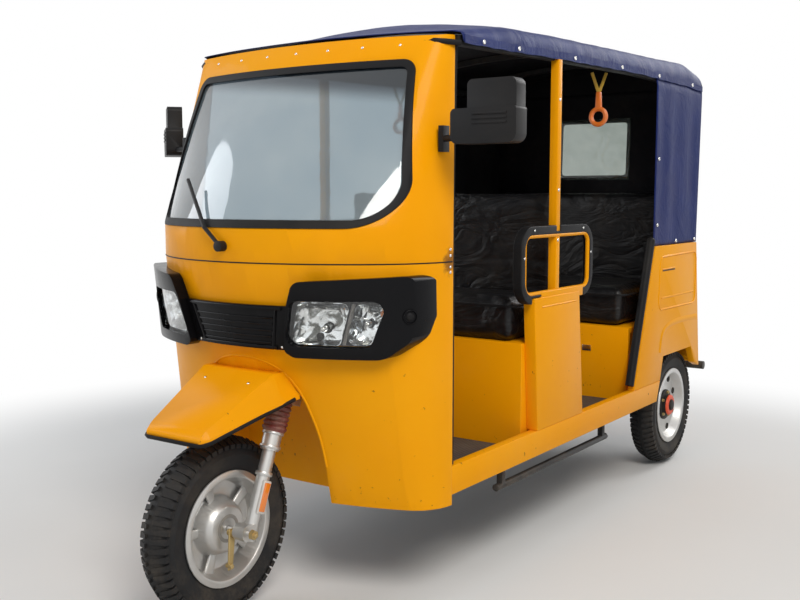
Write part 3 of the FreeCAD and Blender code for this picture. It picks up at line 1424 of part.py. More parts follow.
wiper = hub.fuse([
    bar(arm_start, arm_knee, v.wiper_bar / 2),
    Part.makeSphere(v.wiper_bar / 2, arm_knee),
    bar(arm_knee, arm_stop, v.wiper_bar / 2),
    bar(arm_stop - blade_way, arm_stop + blade_way, v.wiper_bar / 2),
])
wiper = wiper.cut(cab_loft(-gap, v.wall))
pieces.append(feature("wiper", wiper))

# Hanging straps with their rings
strap_top = hood_size(v.strap_back)[0] - v.rail_drop - gap
ring_y = at(v.strap_back)
ring_shape = Part.makeTorus(v.ring_radius, v.ring_wire, Vector(v.strap_half, ring_y, v.ring_height),
                            Vector(0, 1, 0))
strap = block(v.strap_half - v.strap_width / 2, v.strap_half + v.strap_width / 2,
              ring_y - v.strap_thickness / 2, ring_y + v.strap_thickness / 2,
              v.ring_height + v.ring_radius, strap_top - v.strap_width)
strap_hanger = side_prism([
    (ring_y - v.strap_width, strap_top),
    (ring_y + v.strap_width, strap_top),
    (ring_y + v.strap_thickness / 2, strap_top - v.strap_width * 2),
    (ring_y - v.strap_thickness / 2, strap_top - v.strap_width * 2),
], v.strap_half - v.strap_width / 2, v.roof_half - gap)
hang_strap = ring_shape.fuse([strap, strap_hanger]).cut(roof_rail)
pieces.extend(pair("hang_strap", hang_strap))

# Step bars hung below the sills
step_z = v.sill_foot_height - v.step_drop
step = bar(Vector(v.step_half, at(v.step_front), step_z),
           Vector(v.step_half, at(v.step_rear), step_z), v.step_radius)
hangers = []
for back in (v.step_front, v.step_rear):
    reach = v.step_radius * 0.9
    toward = 1 if back == v.step_front else -1
    y = at(back) + toward * v.step_radius * 3
    hangers.append(block(v.step_half - reach, floor_half - gap, y - reach, y + reach,
                         step_z, floor_low - gap))
pieces.extend(pair("step_bar", step.fuse(hangers)))

# Checks, then one file for each piece
doc.recompute()
for thing in doc.Objects:
    if "Invalid" in thing.State or "Error" in thing.State:
        raise RuntimeError("not built: " + thing.Label)
for piece in pieces:
    if piece.Shape.isNull() or not piece.Shape.isValid():
        raise RuntimeError("bad shape: " + piece.Label)

os.makedirs("parts", exist_ok=True)
for piece in pieces:
    piece.Shape.exportStep("parts/" + piece.Label + ".step")
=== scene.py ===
"""Auto rickshaw: the finished look of each piece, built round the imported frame."""
import math
from functools import cache

import bmesh
import bpy
from bpy.props import FloatProperty, FloatVectorProperty
from bpy.types import Operator, Panel, PropertyGroup
from mathutils import Matrix, Vector, noise
from mathutils.bvhtree import BVHTree


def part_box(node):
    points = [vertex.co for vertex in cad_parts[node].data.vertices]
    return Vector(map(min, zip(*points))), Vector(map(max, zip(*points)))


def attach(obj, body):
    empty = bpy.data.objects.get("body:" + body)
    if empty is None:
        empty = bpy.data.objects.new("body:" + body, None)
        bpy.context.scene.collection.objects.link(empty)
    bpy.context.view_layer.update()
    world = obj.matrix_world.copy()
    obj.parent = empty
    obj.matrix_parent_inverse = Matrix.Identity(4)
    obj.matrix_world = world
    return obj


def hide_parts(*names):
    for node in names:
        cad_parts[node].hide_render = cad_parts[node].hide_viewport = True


bl_info = {
    "name": "Auto rickshaw",
    "version": (1, 0, 0),
    "blender": (4, 5, 0),
    "location": "3D View > Sidebar > Rickshaw",
    "description": "Builds the finished pieces of a three wheeled passenger vehicle",
    "category": "Object",
}

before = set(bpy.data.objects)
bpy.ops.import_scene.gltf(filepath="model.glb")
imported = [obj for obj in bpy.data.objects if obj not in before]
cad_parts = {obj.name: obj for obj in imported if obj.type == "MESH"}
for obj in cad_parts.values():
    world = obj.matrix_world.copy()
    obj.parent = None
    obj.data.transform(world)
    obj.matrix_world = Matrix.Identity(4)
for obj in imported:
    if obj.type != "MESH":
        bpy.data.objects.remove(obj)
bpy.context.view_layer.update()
AXLE = sum(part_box("front_tyre"), Vector()) / 2
SIDES = ((1, "left"), (-1, "right"))


# Property helpers

def size(name, text, default):
    return FloatProperty(name=name, description=text, default=default, unit="LENGTH", precision=4)


def amount(name, text, default):
    return FloatProperty(name=name, description=text, default=default)


def turn(name, text, degrees):
    return FloatProperty(name=name, description=text, default=math.radians(degrees),
                         subtype="ANGLE", unit="ROTATION")


def colour(name, text, red, green, blue):
    return FloatVectorProperty(name=name, description=text, default=(red, green, blue),
                               subtype="COLOR", size=3, min=0.0, max=1.0)


class StageSettings(PropertyGroup):
    """Camera, floor and light."""
    camera_place: FloatVectorProperty(name="Camera place", description="Where the camera stands",
                                      default=(2.025, -3.2095, 1.200), subtype="XYZ", unit="LENGTH")
    camera_azimuth: turn("Camera azimuth", "Direction of view round the vehicle", 35.04)
    camera_pitch: turn("Camera pitch", "How far the camera looks down", 5.93)
    lens: amount("Lens", "Focal length in millimetres on a 36 mm sensor", 45.07)
    floor_colour: colour("Floor", "Pale studio floor", 0.80, 0.80, 0.79)
    floor_clear: size("Clear floor", "Radius of floor that keeps its own shade", 2.1)
    floor_fade: size("Fading floor", "Radius where the floor has turned white", 3.4)
    world_strength: amount("Sky strength", "Even light from all sides", 0.40)
    key_power: amount("Key light", "Power of the main soft light in watts", 200.0)
    fill_power: amount("Fill light", "Power of the side light in watts", 70.0)
    back_power: amount("Back light", "Power of the light behind in watts", 90.0)


class FinishSettings(PropertyGroup):
    """Colours of the finishes."""
    paint: colour("Body paint", "Amber yellow enamel", 0.88, 0.340, 0.001)
    paint_shade: colour("Faded paint", "Paint where the sun has bleached it", 0.90, 0.375, 0.003)
    rust: colour("Rust", "Rust and road dirt on the paint", 0.16, 0.065, 0.02)
    dust: colour("Dust", "Dry road dust", 0.36, 0.29, 0.21)
    rubber: colour("Rubber", "Black rubber trim", 0.009, 0.009, 0.010)
    mask: colour("Lamp mask", "Glossy black plastic", 0.005, 0.005, 0.006)
    plastic: colour("Plastic", "Satin black plastic", 0.010, 0.010, 0.011)
    tyre: colour("Tyre", "Tyre rubber", 0.014, 0.014, 0.015)
    canvas: colour("Hood cloth", "Navy blue tarpaulin", 0.008, 0.018, 0.105)
    canvas_worn: colour("Worn hood cloth", "Tarpaulin where it has rubbed", 0.014, 0.028, 0.140)
    lining: colour("Hood lining", "Black cloth inside the hood and at its hem", 0.008, 0.008, 0.010)
    vinyl: colour("Seat vinyl", "Black vinyl under clear film", 0.006, 0.006, 0.007)
    silver: colour("Silver paint", "Painted fork and wheels", 0.56, 0.56, 0.55)
    steel: colour("Bright steel", "Screws, snaps and axle ends", 0.62, 0.62, 0.60)
    brass: colour("Zinc plate", "Yellow zinc on brake arms and nuts", 0.55, 0.40, 0.15)
    chassis: colour("Chassis", "Black chassis paint", 0.020, 0.020, 0.021)
    casting: colour("Casting", "Sand cast aluminium", 0.34, 0.34, 0.33)
    floor_mat: colour("Floor mat", "Grey black ribbed rubber", 0.050, 0.051, 0.053)
    strap_yellow: colour("Strap", "Yellow webbing", 0.80, 0.50, 0.05)
    strap_orange: colour("Strap sleeve", "Orange sleeve and ring", 0.72, 0.17, 0.02)
    amber: colour("Amber lens", "Amber reflectors and turn lamps", 0.85, 0.22, 0.01)
    red: colour("Red lens", "Red rear lamps", 0.60, 0.02, 0.01)
    hub_red: colour("Hub ring", "Orange red rings on the rear hubs", 0.80, 0.075, 0.015)


# Node helpers

def feed(tree, socket, value):
    """Link a socket to another one, or set its plain value."""
    if isinstance(value, bpy.types.NodeSocket):
        tree.links.new(value, socket)
    else:
        socket.default_value = value


def add(tree, kind, feeds=None, out=0, **settings):
    """Add one node, feed its inputs by name or number, and give back one output."""
    made = tree.nodes.new(kind)
    for key, value in settings.items():
        setattr(made, key, value)
    for key, value in (feeds or {}).items():
        feed(tree, made.inputs[key], value)
    return made.outputs[out] if len(made.outputs) else made


def rgba(value):
    return (*value, 1.0)


def blend_colour(tree, factor, first, second, mode="MIX"):
    return add(tree, "ShaderNodeMix", {0: factor, 6: first, 7: second}, out=2,
               data_type="RGBA", blend_type=mode)


def grey(tree, tone):
    return add(tree, "ShaderNodeCombineColor", {"Red": tone, "Green": tone, "Blue": tone})


def sums(tree, operation, first, second=0.0, third=0.0, clamp=False):
    return add(tree, "ShaderNodeMath", {0: first, 1: second, 2: third},
               operation=operation, use_clamp=clamp)


def between(tree, value, low, high, to_low=0.0, to_high=1.0):
    """Carry a range of values smoothly over to another range."""
    return add(tree, "ShaderNodeMapRange",
               {"Value": value, "From Min": low, "From Max": high,
                "To Min": to_low, "To Max": to_high}, interpolation_type="SMOOTHSTEP")


def cloud(tree, where, scale, detail=4.0, rough=0.55, bend=0.0):
    return add(tree, "ShaderNodeTexNoise",
               {"Vector": where, "Scale": scale, "Detail": detail, "Roughness": rough,
                "Distortion": bend})


def bands(tree, where, way, scale):
    return add(tree, "ShaderNodeTexWave", {"Vector": where, "Scale": scale}, out=1,
               bands_direction=way)


def drawn_out(tree, where, scale, turned=(0.0, 0.0, 0.0)):
    """Coordinates stretched, so that folds run one way."""
    return add(tree, "ShaderNodeMapping", {"Vector": where, "Scale": scale, "Rotation": turned})


def object_place(tree):
    return add(tree, "ShaderNodeTexCoord", out="Object")


def axis_of(tree, where, letter):
    return add(tree, "ShaderNodeSeparateXYZ", {"Vector": where}, out=letter)


def dress(tree, surface, tint, rough, height=None, strength=1.0, distance=1.0):
    """Feed a surface its colour, its roughness and its relief."""
    feed(tree, surface.inputs["Base Color"], tint)
    feed(tree, surface.inputs["Roughness"], rough)
    if height is not None:
        feed(tree, surface.inputs["Normal"], add(tree, "ShaderNodeBump", {
            "Strength": strength, "Distance": distance, "Height": height}, out="Normal"))


def effect(name, inputs, outputs, build):
    """Shared node group: inputs are (name, kind, default) rows and outputs (name, kind) rows."""
    tree = bpy.data.node_groups.new(name, "ShaderNodeTree")
    for label, kind, default in inputs:
        made = tree.interface.new_socket(name=label, in_out="INPUT",
                                         socket_type="NodeSocket" + kind)
        made.default_value = default
    for label, kind in outputs:
        tree.interface.new_socket(name=label, in_out="OUTPUT", socket_type="NodeSocket" + kind)
    start = tree.nodes.new("NodeGroupInput")
    stop = tree.nodes.new("NodeGroupOutput")
    for label, socket in build(tree, start.outputs).items():
        tree.links.new(socket, stop.inputs[label])
    return tree


def use(tree, group, feeds):
    """Place a shared group in a material and give back its outputs."""
    return add(tree, "ShaderNodeGroup", feeds, node_tree=group).node.outputs


@cache
def grime_group():
    """Road dust that gathers low down, with blotches and fine streaks."""
    def build(tree, given):
        where = object_place(tree)
        blot = cloud(tree, where, given["Scale"], 6.0, 0.62)
        fine = cloud(tree, where, sums(tree, "MULTIPLY", given["Scale"], 9.0), 5.0, 0.7)
        height = axis_of(tree, where, "Z")
        low = sums(tree, "SUBTRACT", 1.0, sums(tree, "DIVIDE", height, given["Reach"]), clamp=True)
        spread = sums(tree, "ADD", sums(tree, "MULTIPLY", low, 0.8), 0.18)
        mask = between(tree, sums(tree, "MULTIPLY_ADD", fine, 0.35, blot), 0.58, 0.98)
        mask = sums(tree, "MULTIPLY", sums(tree, "MULTIPLY", mask, spread), given["Amount"],
                    clamp=True)
        tone = sums(tree, "MULTIPLY_ADD", sums(tree, "SUBTRACT", blot, 0.5), given["Mottle"], 1.0)
        base = blend_colour(tree, 1.0, given["Colour"], grey(tree, tone), "MULTIPLY")
        tint = blend_colour(tree, mask, base, given["Dirt"])
        rough = sums(tree, "MULTIPLY_ADD", sums(tree, "SUBTRACT", fine, 0.5), 0.16,
                     given["Roughness"])
        rough = sums(tree, "MULTIPLY_ADD", mask, 0.35, rough, clamp=True)
        return {"Colour": tint, "Roughness": rough}
    return effect("Grime", [
        ("Colour", "Color", (0.5, 0.5, 0.5, 1)), ("Dirt", "Color", (0.3, 0.25, 0.2, 1)),
        ("Amount", "Float", 0.5), ("Scale", "Float", 3.0), ("Reach", "Float", 1.2),
        ("Mottle", "Float", 0.12), ("Roughness", "Float", 0.4),
    ], [("Colour", "Color"), ("Roughness", "Float")], build)


@cache
def grain_group():
    """Fine moulded grain with shallow dents."""
    def build(tree, given):
        where = object_place(tree)
        fine = cloud(tree, where, given["Scale"], 3.0, 0.6)
        dents = cloud(tree, where, 7.0, 2.0, 0.4)
        rise = sums(tree, "MULTIPLY_ADD", dents, given["Dents"],
                    sums(tree, "MULTIPLY", fine, given["Depth"]))
        return {"Height": rise}
    return effect("Grain", [
        ("Scale", "Float", 250.0), ("Depth", "Float", 0.1), ("Dents", "Float", 0.3),
    ], [("Height", "Float")], build)


def shader(name, **constants):
    """New material with one Principled shader, whose plain values are set on its own sockets."""
    material = bpy.data.materials.new(name)
    material.use_nodes = True
    tree = material.node_tree
    tree.nodes.clear()
    surface = add(tree, "ShaderNodeBsdfPrincipled").node
    add(tree, "ShaderNodeOutputMaterial", {"Surface": surface.outputs[0]})
    for key, value in constants.items():
        surface.inputs[key.replace("_", " ")].default_value = value
    return material, tree, surface


def dusted(tree, tint, amount, scale, reach, mottle, rough):
    """Colour and roughness of a surface with road dust on it."""
    made = use(tree, grime_group(), {
        "Colour": tint, "Dirt": rgba(finishes().dust), "Amount": amount, "Scale": scale,
        "Reach": reach, "Mottle": mottle, "Roughness": rough})
    return made["Colour"], made["Roughness"]


COATED = {}


def coated(name, tint, rough, metallic=0.0, dirt_amount=0.5, dirt_reach=1.2, dirt_scale=3.0,
           grain=250.0, depth=0.12, dents=0.3, bump=0.25, distance=0.002, coat=0.0,
           specular=0.5):
    """Painted, plated, cast or moulded surface with grime and grain, built once."""
    if name not in COATED:
        COATED[name], tree, surface = shader(name, Metallic=metallic, Coat_Weight=coat,
                                             Coat_Roughness=0.08, Specular_IOR_Level=specular)
        dirty = dusted(tree, rgba(tint), dirt_amount, dirt_scale, dirt_reach, 0.12, rough)
        grainy = use(tree, grain_group(), {"Scale": grain, "Depth": depth, "Dents": dents})
        dress(tree, surface, *dirty, grainy["Height"], bump, distance)
    return COATED[name]


def finishes():
    return bpy.context.scene.rickshaw_finish


# Mesh helpers: places are given in metres from the ground and behind the front axle

WELD = 1e-5


def at(x, back, z):
    return Vector((x, AXLE.y + back, z))


def copy_of(node, flatten=0.6):
    """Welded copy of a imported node's mesh, its flat areas joined into whole faces."""
    made = bmesh.new()
    made.from_mesh(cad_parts[node].data)
    bmesh.ops.remove_doubles(made, verts=made.verts, dist=WELD)
    if flatten:
        bmesh.ops.dissolve_limit(made, angle_limit=math.radians(flatten),
                                 verts=made.verts, edges=made.edges)
    return made


def sharp_edges(made, degrees=30.0):
    limit = math.radians(degrees)
    return [e for e in made.edges if len(e.link_faces) == 2 and e.calc_face_angle(0) > limit]


def soften(made, width, segments=2, degrees=30.0, edges=None):
    bmesh.ops.bevel(made, geom=edges if edges is not None else sharp_edges(made, degrees),
                    offset=width, offset_type="OFFSET", segments=segments, profile=0.5,
                    affect="EDGES", clamp_overlap=True, material=-1)


def piece(name, made, material, body, stands_for=(), smooth=35.0, second=None):
    """Put a finished mesh in the scene: material, body and the nodes it stands for."""
    mesh = bpy.data.meshes.new(name)
    made.normal_update()
    made.to_mesh(mesh)
    made.free()
    mesh.polygons.foreach_set("use_smooth", [True] * len(mesh.polygons))
    mesh.set_sharp_from_angle(angle=math.radians(smooth))
    thing = bpy.data.objects.new(name, mesh)
    bpy.context.scene.collection.objects.link(thing)
    mesh.materials.clear()
    mesh.materials.append(material)
    if second:
        mesh.materials.append(second)
    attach(thing, body)
    if stands_for:
        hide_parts(*stands_for)
    return thing


def eased(node, ending, width, segments, degrees, material, smooth, body="body"):
    """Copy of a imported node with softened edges, which stands for it."""
    made = copy_of(node)
    soften(made, width, segments, degrees)
    return piece(node + ending, made, material, body, (node,), smooth)


def joined(parts):
    """One mesh from several, the others being freed."""
    first = parts[0]
    for other in parts[1:]:
        mesh = bpy.data.meshes.new("part")
        other.to_mesh(mesh)
        other.free()
        first.from_mesh(mesh)
        bpy.data.meshes.remove(mesh)
    return first


def moved(made, matrix):
    bmesh.ops.transform(made, matrix=matrix, verts=made.verts)
    return made


def faced(made, way):
    """Open sheet with its normals made to agree, its outside towards one direction."""
    bmesh.ops.recalc_face_normals(made, faces=made.faces)
    if sum(f.normal.dot(Vector(way)) * f.calc_area() for f in made.faces) < 0:
        bmesh.ops.reverse_faces(made, faces=made.faces)
    return made


def frame_along(way, up=Vector((0, 0, 1))):
    """Turn that takes +Z onto a direction, with +Y kept near up."""
    z = Vector(way).normalized()
    x = Vector(up).cross(z)
    if x.length < 1e-4:
        x = Vector((1, 0, 0)).cross(z)
    x.normalize()
    return Matrix((x, z.cross(x), z)).transposed().to_4x4()


def rod(start, stop, radius, sides):
    """Straight round bar with eased ends."""
    start, stop = Vector(start), Vector(stop)
    made = bmesh.new()
    bmesh.ops.create_cone(made, cap_ends=True, segments=sides, radius1=radius, radius2=radius,
                          depth=(stop - start).length)
    rims = [e for e in made.edges if e.calc_face_angle(0) > math.radians(50)]
    soften(made, 0.001, 2, edges=rims)
    return moved(made, Matrix.Translation((start + stop) / 2) @ frame_along(stop - start))


def slab(low, high, edge=0.003, segments=2):
    """Box between two corners with rounded edges."""
    low, high = Vector(low), Vector(high)
    made = bmesh.new()
    bmesh.ops.create_cube(made, size=1.0)
    span = high - low
    bmesh.ops.scale(made, vec=span, verts=made.verts)
    bmesh.ops.translate(made, vec=(low + high) / 2, verts=made.verts)
    if edge:
        soften(made, min(edge, min(span) * 0.45), segments, 30)
    return made


def lathe(profile, middle, axis, steps=48, closed=False):
    """Turn (along, out) points about an axis through a point."""
    made = bmesh.new()
    turned_to = frame_along(axis)
    points = [made.verts.new((out, 0, along)) for along, out in profile]
    edges = [made.edges.new(pair) for pair in zip(points, points[1:])]
    if closed:
        edges.append(made.edges.new((points[-1], points[0])))
    bmesh.ops.spin(made, geom=points + edges, cent=(0, 0, 0), axis=(0, 0, 1),
                   angle=math.tau, steps=steps, use_merge=True)
    bmesh.ops.remove_doubles(made, verts=made.verts, dist=1e-6)
    bmesh.ops.recalc_face_normals(made, faces=made.faces)
    return moved(made, Matrix.Translation(middle) @ turned_to)


def ring_of(made, points):
    verts = [made.verts.new(p) for p in points]
    return [made.edges.new((verts[i], verts[(i + 1) % len(verts)])) for i in range(len(verts))]


def tube(points, radius, sides=12, closed=False, curve="NURBS", order=3):
    """Round bar along a bent line."""
    line = bpy.data.curves.new("line", "CURVE")
    line.dimensions = "3D"
    line.bevel_depth = radius
    line.bevel_resolution = max(sides // 4 - 1, 1)
    line.resolution_u = 8
    line.use_fill_caps = not closed
    spline = line.splines.new(curve)
    spline.points.add(len(points) - 1)
    for made, given in zip(spline.points, points):
        made.co = (*given, 1.0)
    spline.use_cyclic_u = closed
    if curve == "NURBS":
        spline.order_u = order
        spline.use_endpoint_u = not closed
    holder = bpy.data.objects.new("line", line)
    mesh = bpy.data.meshes.new_from_object(holder)
    made = bmesh.new()
    made.from_mesh(mesh)
    bmesh.ops.remove_doubles(made, verts=made.verts, dist=1e-6)
    bpy.data.objects.remove(holder)
    bpy.data.curves.remove(line)
    bpy.data.meshes.remove(mesh)
    return made


def rounded(points, radius, steps=6):
    """Flat outline, given as 2D corners with their own radii, as many points on round corners."""
    count = len(points)
    radii = radius if isinstance(radius, (list, tuple)) else [radius] * count
    result = []
    for i in range(count):
        here, before, after = (Vector(points[j % count]) for j in (i, i - 1, i + 1))
        one, two = (before - here).normalized(), (after - here).normalized()
        half = one.angle(two) / 2
        back = min(radii[i] / math.tan(half), (before - here).length * 0.49,
                   (after - here).length * 0.49)
        r = back * math.tan(half)
        middle = here + (one + two).normalized() * (r / math.sin(half))
        start, stop = here + one * back - middle, here + two * back - middle
        for k in range(steps + 1):
            result.append(middle + start.slerp(stop, k / steps) * r)
    return result


def plate(outline, depth, edge, turned_to):
    """Flat outline thickened, eased and turned into place."""
    made = bmesh.new()
    loop = ring_of(made, [(u, v, 0.0) for u, v in outline])
    bmesh.ops.contextual_create(made, geom=loop)
    grown = bmesh.ops.extrude_face_region(made, geom=list(made.faces))
    verts = [g for g in grown["geom"] if isinstance(g, bmesh.types.BMVert)]
    bmesh.ops.translate(made, vec=(0, 0, depth), verts=verts)
    bmesh.ops.recalc_face_normals(made, faces=made.faces)
    soften(made, edge, 2, 40)
    for vert in made.verts:
        vert.co = turned_to @ vert.co
    bmesh.ops.recalc_face_normals(made, faces=made.faces)
    return made


class Surface:
    """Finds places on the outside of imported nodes, for trim that sits on them."""

    def __init__(self, *nodes):
        self.trees = []
        for node in nodes:
            made = bmesh.new()
            made.from_mesh(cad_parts[node].data)
            self.trees.append(BVHTree.FromBMesh(made))
            made.free()

    def hit(self, start, way, reach=3.0):
        best = None
        for tree in self.trees:
            place, normal, index, distance = tree.ray_cast(
                Vector(start), Vector(way).normalized(), reach)
            if place is not None and (best is None or distance < best[2]):
                if normal.dot(Vector(way)) > 0:
                    normal = -normal
                best = (place, normal, distance)
        if best is None:
            raise RuntimeError("no surface at %s" % (tuple(start),))
        return best[0], best[1]

    def front(self, x, z):
        return self.hit((x, -3.0, z), (0, 1, 0), 5.0)


# Stage

def seen_straight(tree):
    """1 for rays that look at a thing straight, in a mirror or through glass, else 0."""
    path = add(tree, "ShaderNodeLightPath").node.outputs
    return sums(tree, "MAXIMUM", path["Is Camera Ray"],
                sums(tree, "MAXIMUM", path["Is Glossy Ray"], path["Is Transmission Ray"]))


def make_floor(settings):
    made = bmesh.new()
    bmesh.ops.create_circle(made, cap_ends=True, segments=96, radius=30.0)
    bmesh.ops.inset_region(made, faces=made.faces, thickness=24.0)
    material = bpy.data.materials.new("studio_floor")
    material.use_nodes = True
    tree = material.node_tree
    tree.nodes.clear()
    where = object_place(tree)
    away = add(tree, "ShaderNodeVectorMath", {0: where}, out="Value", operation="LENGTH")
    shade = between(tree, cloud(tree, where, 1.6, 3.0), 0.3, 0.7, 0.985, 1.0)
    tint = blend_colour(tree, 1.0, rgba(settings.floor_colour), grey(tree, shade), "MULTIPLY")
    far = between(tree, away, settings.floor_clear, settings.floor_fade)
    mixed = add(tree, "ShaderNodeMixShader", {
        0: sums(tree, "MULTIPLY", seen_straight(tree), far),
        1: add(tree, "ShaderNodeBsdfDiffuse", {"Color": tint}),
        2: add(tree, "ShaderNodeEmission", {"Color": (1, 1, 1, 1), "Strength": 1.0})})
    add(tree, "ShaderNodeOutputMaterial", {"Surface": mixed})
    mesh = bpy.data.meshes.new("studio_floor")
    made.to_mesh(mesh)
    made.free()
    mesh.materials.append(material)
    floor = bpy.data.objects.new("studio_floor", mesh)
    bpy.context.scene.collection.objects.link(floor)


def make_world(settings):
    world = bpy.data.worlds.new("studio")
    bpy.context.scene.world = world
    world.use_nodes = True
    tree = world.node_tree
    tree.nodes.clear()
    mixed = add(tree, "ShaderNodeMixShader", {
        0: seen_straight(tree),
        1: add(tree, "ShaderNodeBackground", {"Color": (0.93, 0.96, 1.0, 1),
                                              "Strength": settings.world_strength}),
        2: add(tree, "ShaderNodeBackground", {"Color": (1, 1, 1, 1), "Strength": 1.0})})
    add(tree, "ShaderNodeOutputWorld", {"Surface": mixed})


def soft_light(name, place, aim, width, tint, power):
    lamp = bpy.data.lights.new(name, "AREA")
    lamp.shape = "DISK"
    lamp.size = width
    lamp.energy = power
    lamp.color = tint
    holder = bpy.data.objects.new(name, lamp)
    holder.matrix_world = Matrix.Translation(place) @ (
        Vector(aim) - Vector(place)).to_track_quat("-Z", "Y").to_matrix().to_4x4()
    bpy.context.scene.collection.objects.link(holder)


class RICKSHAW_OT_stage(Operator):
    """Camera at the photograph's angle, pale floor and soft studio light"""
    bl_idname = "rickshaw.stage"
    bl_label = "Stage"

    def execute(self, context):
        settings = context.scene.rickshaw_stage
        lens = bpy.data.cameras.new("camera")
        lens.lens = settings.lens
        lens.sensor_width = 36.0
        camera = bpy.data.objects.new("camera", lens)
        around = settings.camera_azimuth
        down = settings.camera_pitch
        way = Vector((-math.sin(around) * math.cos(down), math.cos(around) * math.cos(down),
                      -math.sin(down)))
        camera.matrix_world = Matrix.Translation(settings.camera_place) @ (
            way.to_track_quat("-Z", "Y").to_matrix().to_4x4())
        context.scene.collection.objects.link(camera)
        context.scene.camera = camera
        make_floor(settings)
        make_world(settings)
        for row in (("key", (3.6, -3.4, 4.6), (0, -0.2, 0.8), 2.6, (1.0, 0.96, 0.90)),
                    ("fill", (-4.2, -2.4, 2.6), (0, -0.4, 0.8), 3.2, (0.93, 0.96, 1.0)),
                    ("back", (1.5, 4.4, 3.6), (0, 0.6, 1.0), 3.0, (1.0, 1.0, 1.0))):
            soft_light(*row, getattr(settings, row[0] + "_power"))
        context.scene.view_settings.view_transform = "Standard"
        return {"FINISHED"}


# Painted body

@cache
def body_paint():
    f = finishes()
    material, tree, surface = shader("body_paint", Metallic=0.0, Coat_Weight=0.05,
                                     Coat_Roughness=0.08, Specular_IOR_Level=0.05)
    where = object_place(tree)
    bleach = between(tree, cloud(tree, where, 1.3, 5.0, 0.6), 0.35, 0.75)
    tint = blend_colour(tree, bleach, rgba(f.paint), rgba(f.paint_shade))
    dusty, rough = dusted(tree, tint, 0.10, 3.4, 0.8, 0.10, 0.34)
    speck = cloud(tree, where, 46.0, 4.0, 0.7)
    patch = cloud(tree, where, 5.0, 3.0, 0.6)
    height = axis_of(tree, where, "Z")
    low = between(tree, height, 0.95, 0.28, 0.0, 0.055)
    spots = sums(tree, "MULTIPLY_ADD", patch, 0.20, sums(tree, "MULTIPLY", speck, 0.85))
    chips = between(tree, sums(tree, "ADD", spots, low), 0.720, 0.745)
    side = sums(tree, "ABSOLUTE", axis_of(tree, where, "X"))
    near = add(tree, "ShaderNodeCombineXYZ", {"X": side, "Y": axis_of(tree, where, "Y"),
                                              "Z": height})
    away = add(tree, "ShaderNodeVectorMath", {0: near, 1: PILLAR_SEAM}, out="Value",
               operation="DISTANCE")
    worn = between(tree, sums(tree, "MULTIPLY_ADD", speck, 0.060, away), 0.074, 0.044)
    chips = sums(tree, "MAXIMUM", chips, worn)
    tint = blend_colour(tree, sums(tree, "MULTIPLY", chips, 0.8), dusty, rgba(f.rust))
    rough = sums(tree, "MULTIPLY_ADD", chips, 0.4, rough, clamp=True)
    waves = cloud(tree, where, 3.2, 2.0, 0.4)
    peel = cloud(tree, where, 420.0, 2.0, 0.5)
    rise = sums(tree, "MULTIPLY_ADD", waves, 1.0, sums(tree, "MULTIPLY", peel, 0.012))
    rise = sums(tree, "MULTIPLY_ADD", chips, -0.05, rise)
    dress(tree, surface, tint, rough, rise, 0.22, 0.006)
    return material


PILLAR_SEAM = at(0.518, 0.416, 1.015)
PANELS = ["nose_panel", "windscreen_frame", "sill_left", "sill_right", "driver_seat_box",
          "mid_panel_left", "mid_panel_right", "post_left", "post_right",
          "rear_bench_base", "rear_quarter_left", "rear_quarter_right", "rear_wall"]


class RICKSHAW_OT_panels(Operator):
    """Painted sheet panels with eased edges"""
    bl_idname = "rickshaw.panels"
    bl_label = "Body panels"

    def execute(self, context):
        for node in PANELS:
            eased(node, "_painted", 0.0025, 2, 32, body_paint(), 30)
        return {"FINISHED"}


# Finishes that more than one piece uses

def paint_black():
    return coated("black_paint", finishes().chassis, 0.42, dirt_amount=0.35, dirt_reach=0.9,
                  coat=0.05,
                  specular=0.2)


def black_plastic():
    return coated("grained_plastic", finishes().plastic, 0.45, grain=520.0, depth=0.35, bump=0.35,
                  distance=0.0008, dirt_amount=0.10, specular=0.16)


def gloss_black():
    return coated("gloss_plastic", finishes().mask, 0.22, depth=0.03, dents=0.22, bump=0.12,
                  dirt_amount=0.02, coat=0.04, specular=0.08)


def black_rubber():
    return coated("black_rubber", finishes().rubber, 0.55, grain=380.0, depth=0.3, bump=0.3,
                  distance=0.001, dirt_amount=0.12, specular=0.14)


def silver_paint():
    return coated("silver_paint", finishes().silver, 0.34, metallic=0.75, dirt_amount=0.28,
                  dirt_reach=0.9, coat=0.15, depth=0.06)


def bright_steel():
    return coated("bright_steel", finishes().steel, 0.22, metallic=1.0, dirt_amount=0.25,
                  depth=0.05)


def zinc_plate():
    return coated("zinc_plate", finishes().brass, 0.38, metallic=0.8, dirt_amount=0.7, depth=0.2)


def casting():
    return coated("cast_metal", finishes().casting, 0.55, metallic=0.7, grain=160.0, depth=0.5,
                  bump=0.4, dirt_amount=0.9, dirt_reach=0.8)


def amber_lens():
    return coated("amber_lens", finishes().amber, 0.12, grain=90.0, depth=0.4, bump=0.35, coat=0.8,
                  dirt_amount=0.15)


def red_lens():
    return coated("red_lens", finishes().red, 0.12, grain=90.0, depth=0.4, bump=0.35, coat=0.8,
                  dirt_amount=0.15)


@cache
def chrome_bowl():
    material, tree, surface = shader("chrome_bowl", Metallic=1.0, Specular_IOR_Level=0.5)
    where = object_place(tree)
    facets = add(tree, "ShaderNodeTexVoronoi", {"Vector": where, "Scale": 26.0}, out="Distance")
    # Dark blotches in the chrome's colour are a painted reflection: dark surroundings mirrored in
    # the bowls.
    painted_dark_reflection = between(tree, cloud(tree, where, 22.0, 3.0, 0.5, 1.5), 0.46, 0.60)
    tint = blend_colour(tree, painted_dark_reflection, (0.82, 0.84, 0.86, 1), (0.13, 0.13, 0.12, 1))
    rough = between(tree, cloud(tree, where, 90.0), 0.3, 0.8, 0.04, 0.14)
    dress(tree, surface, tint, rough, facets, 0.7, 0.008)
    return material


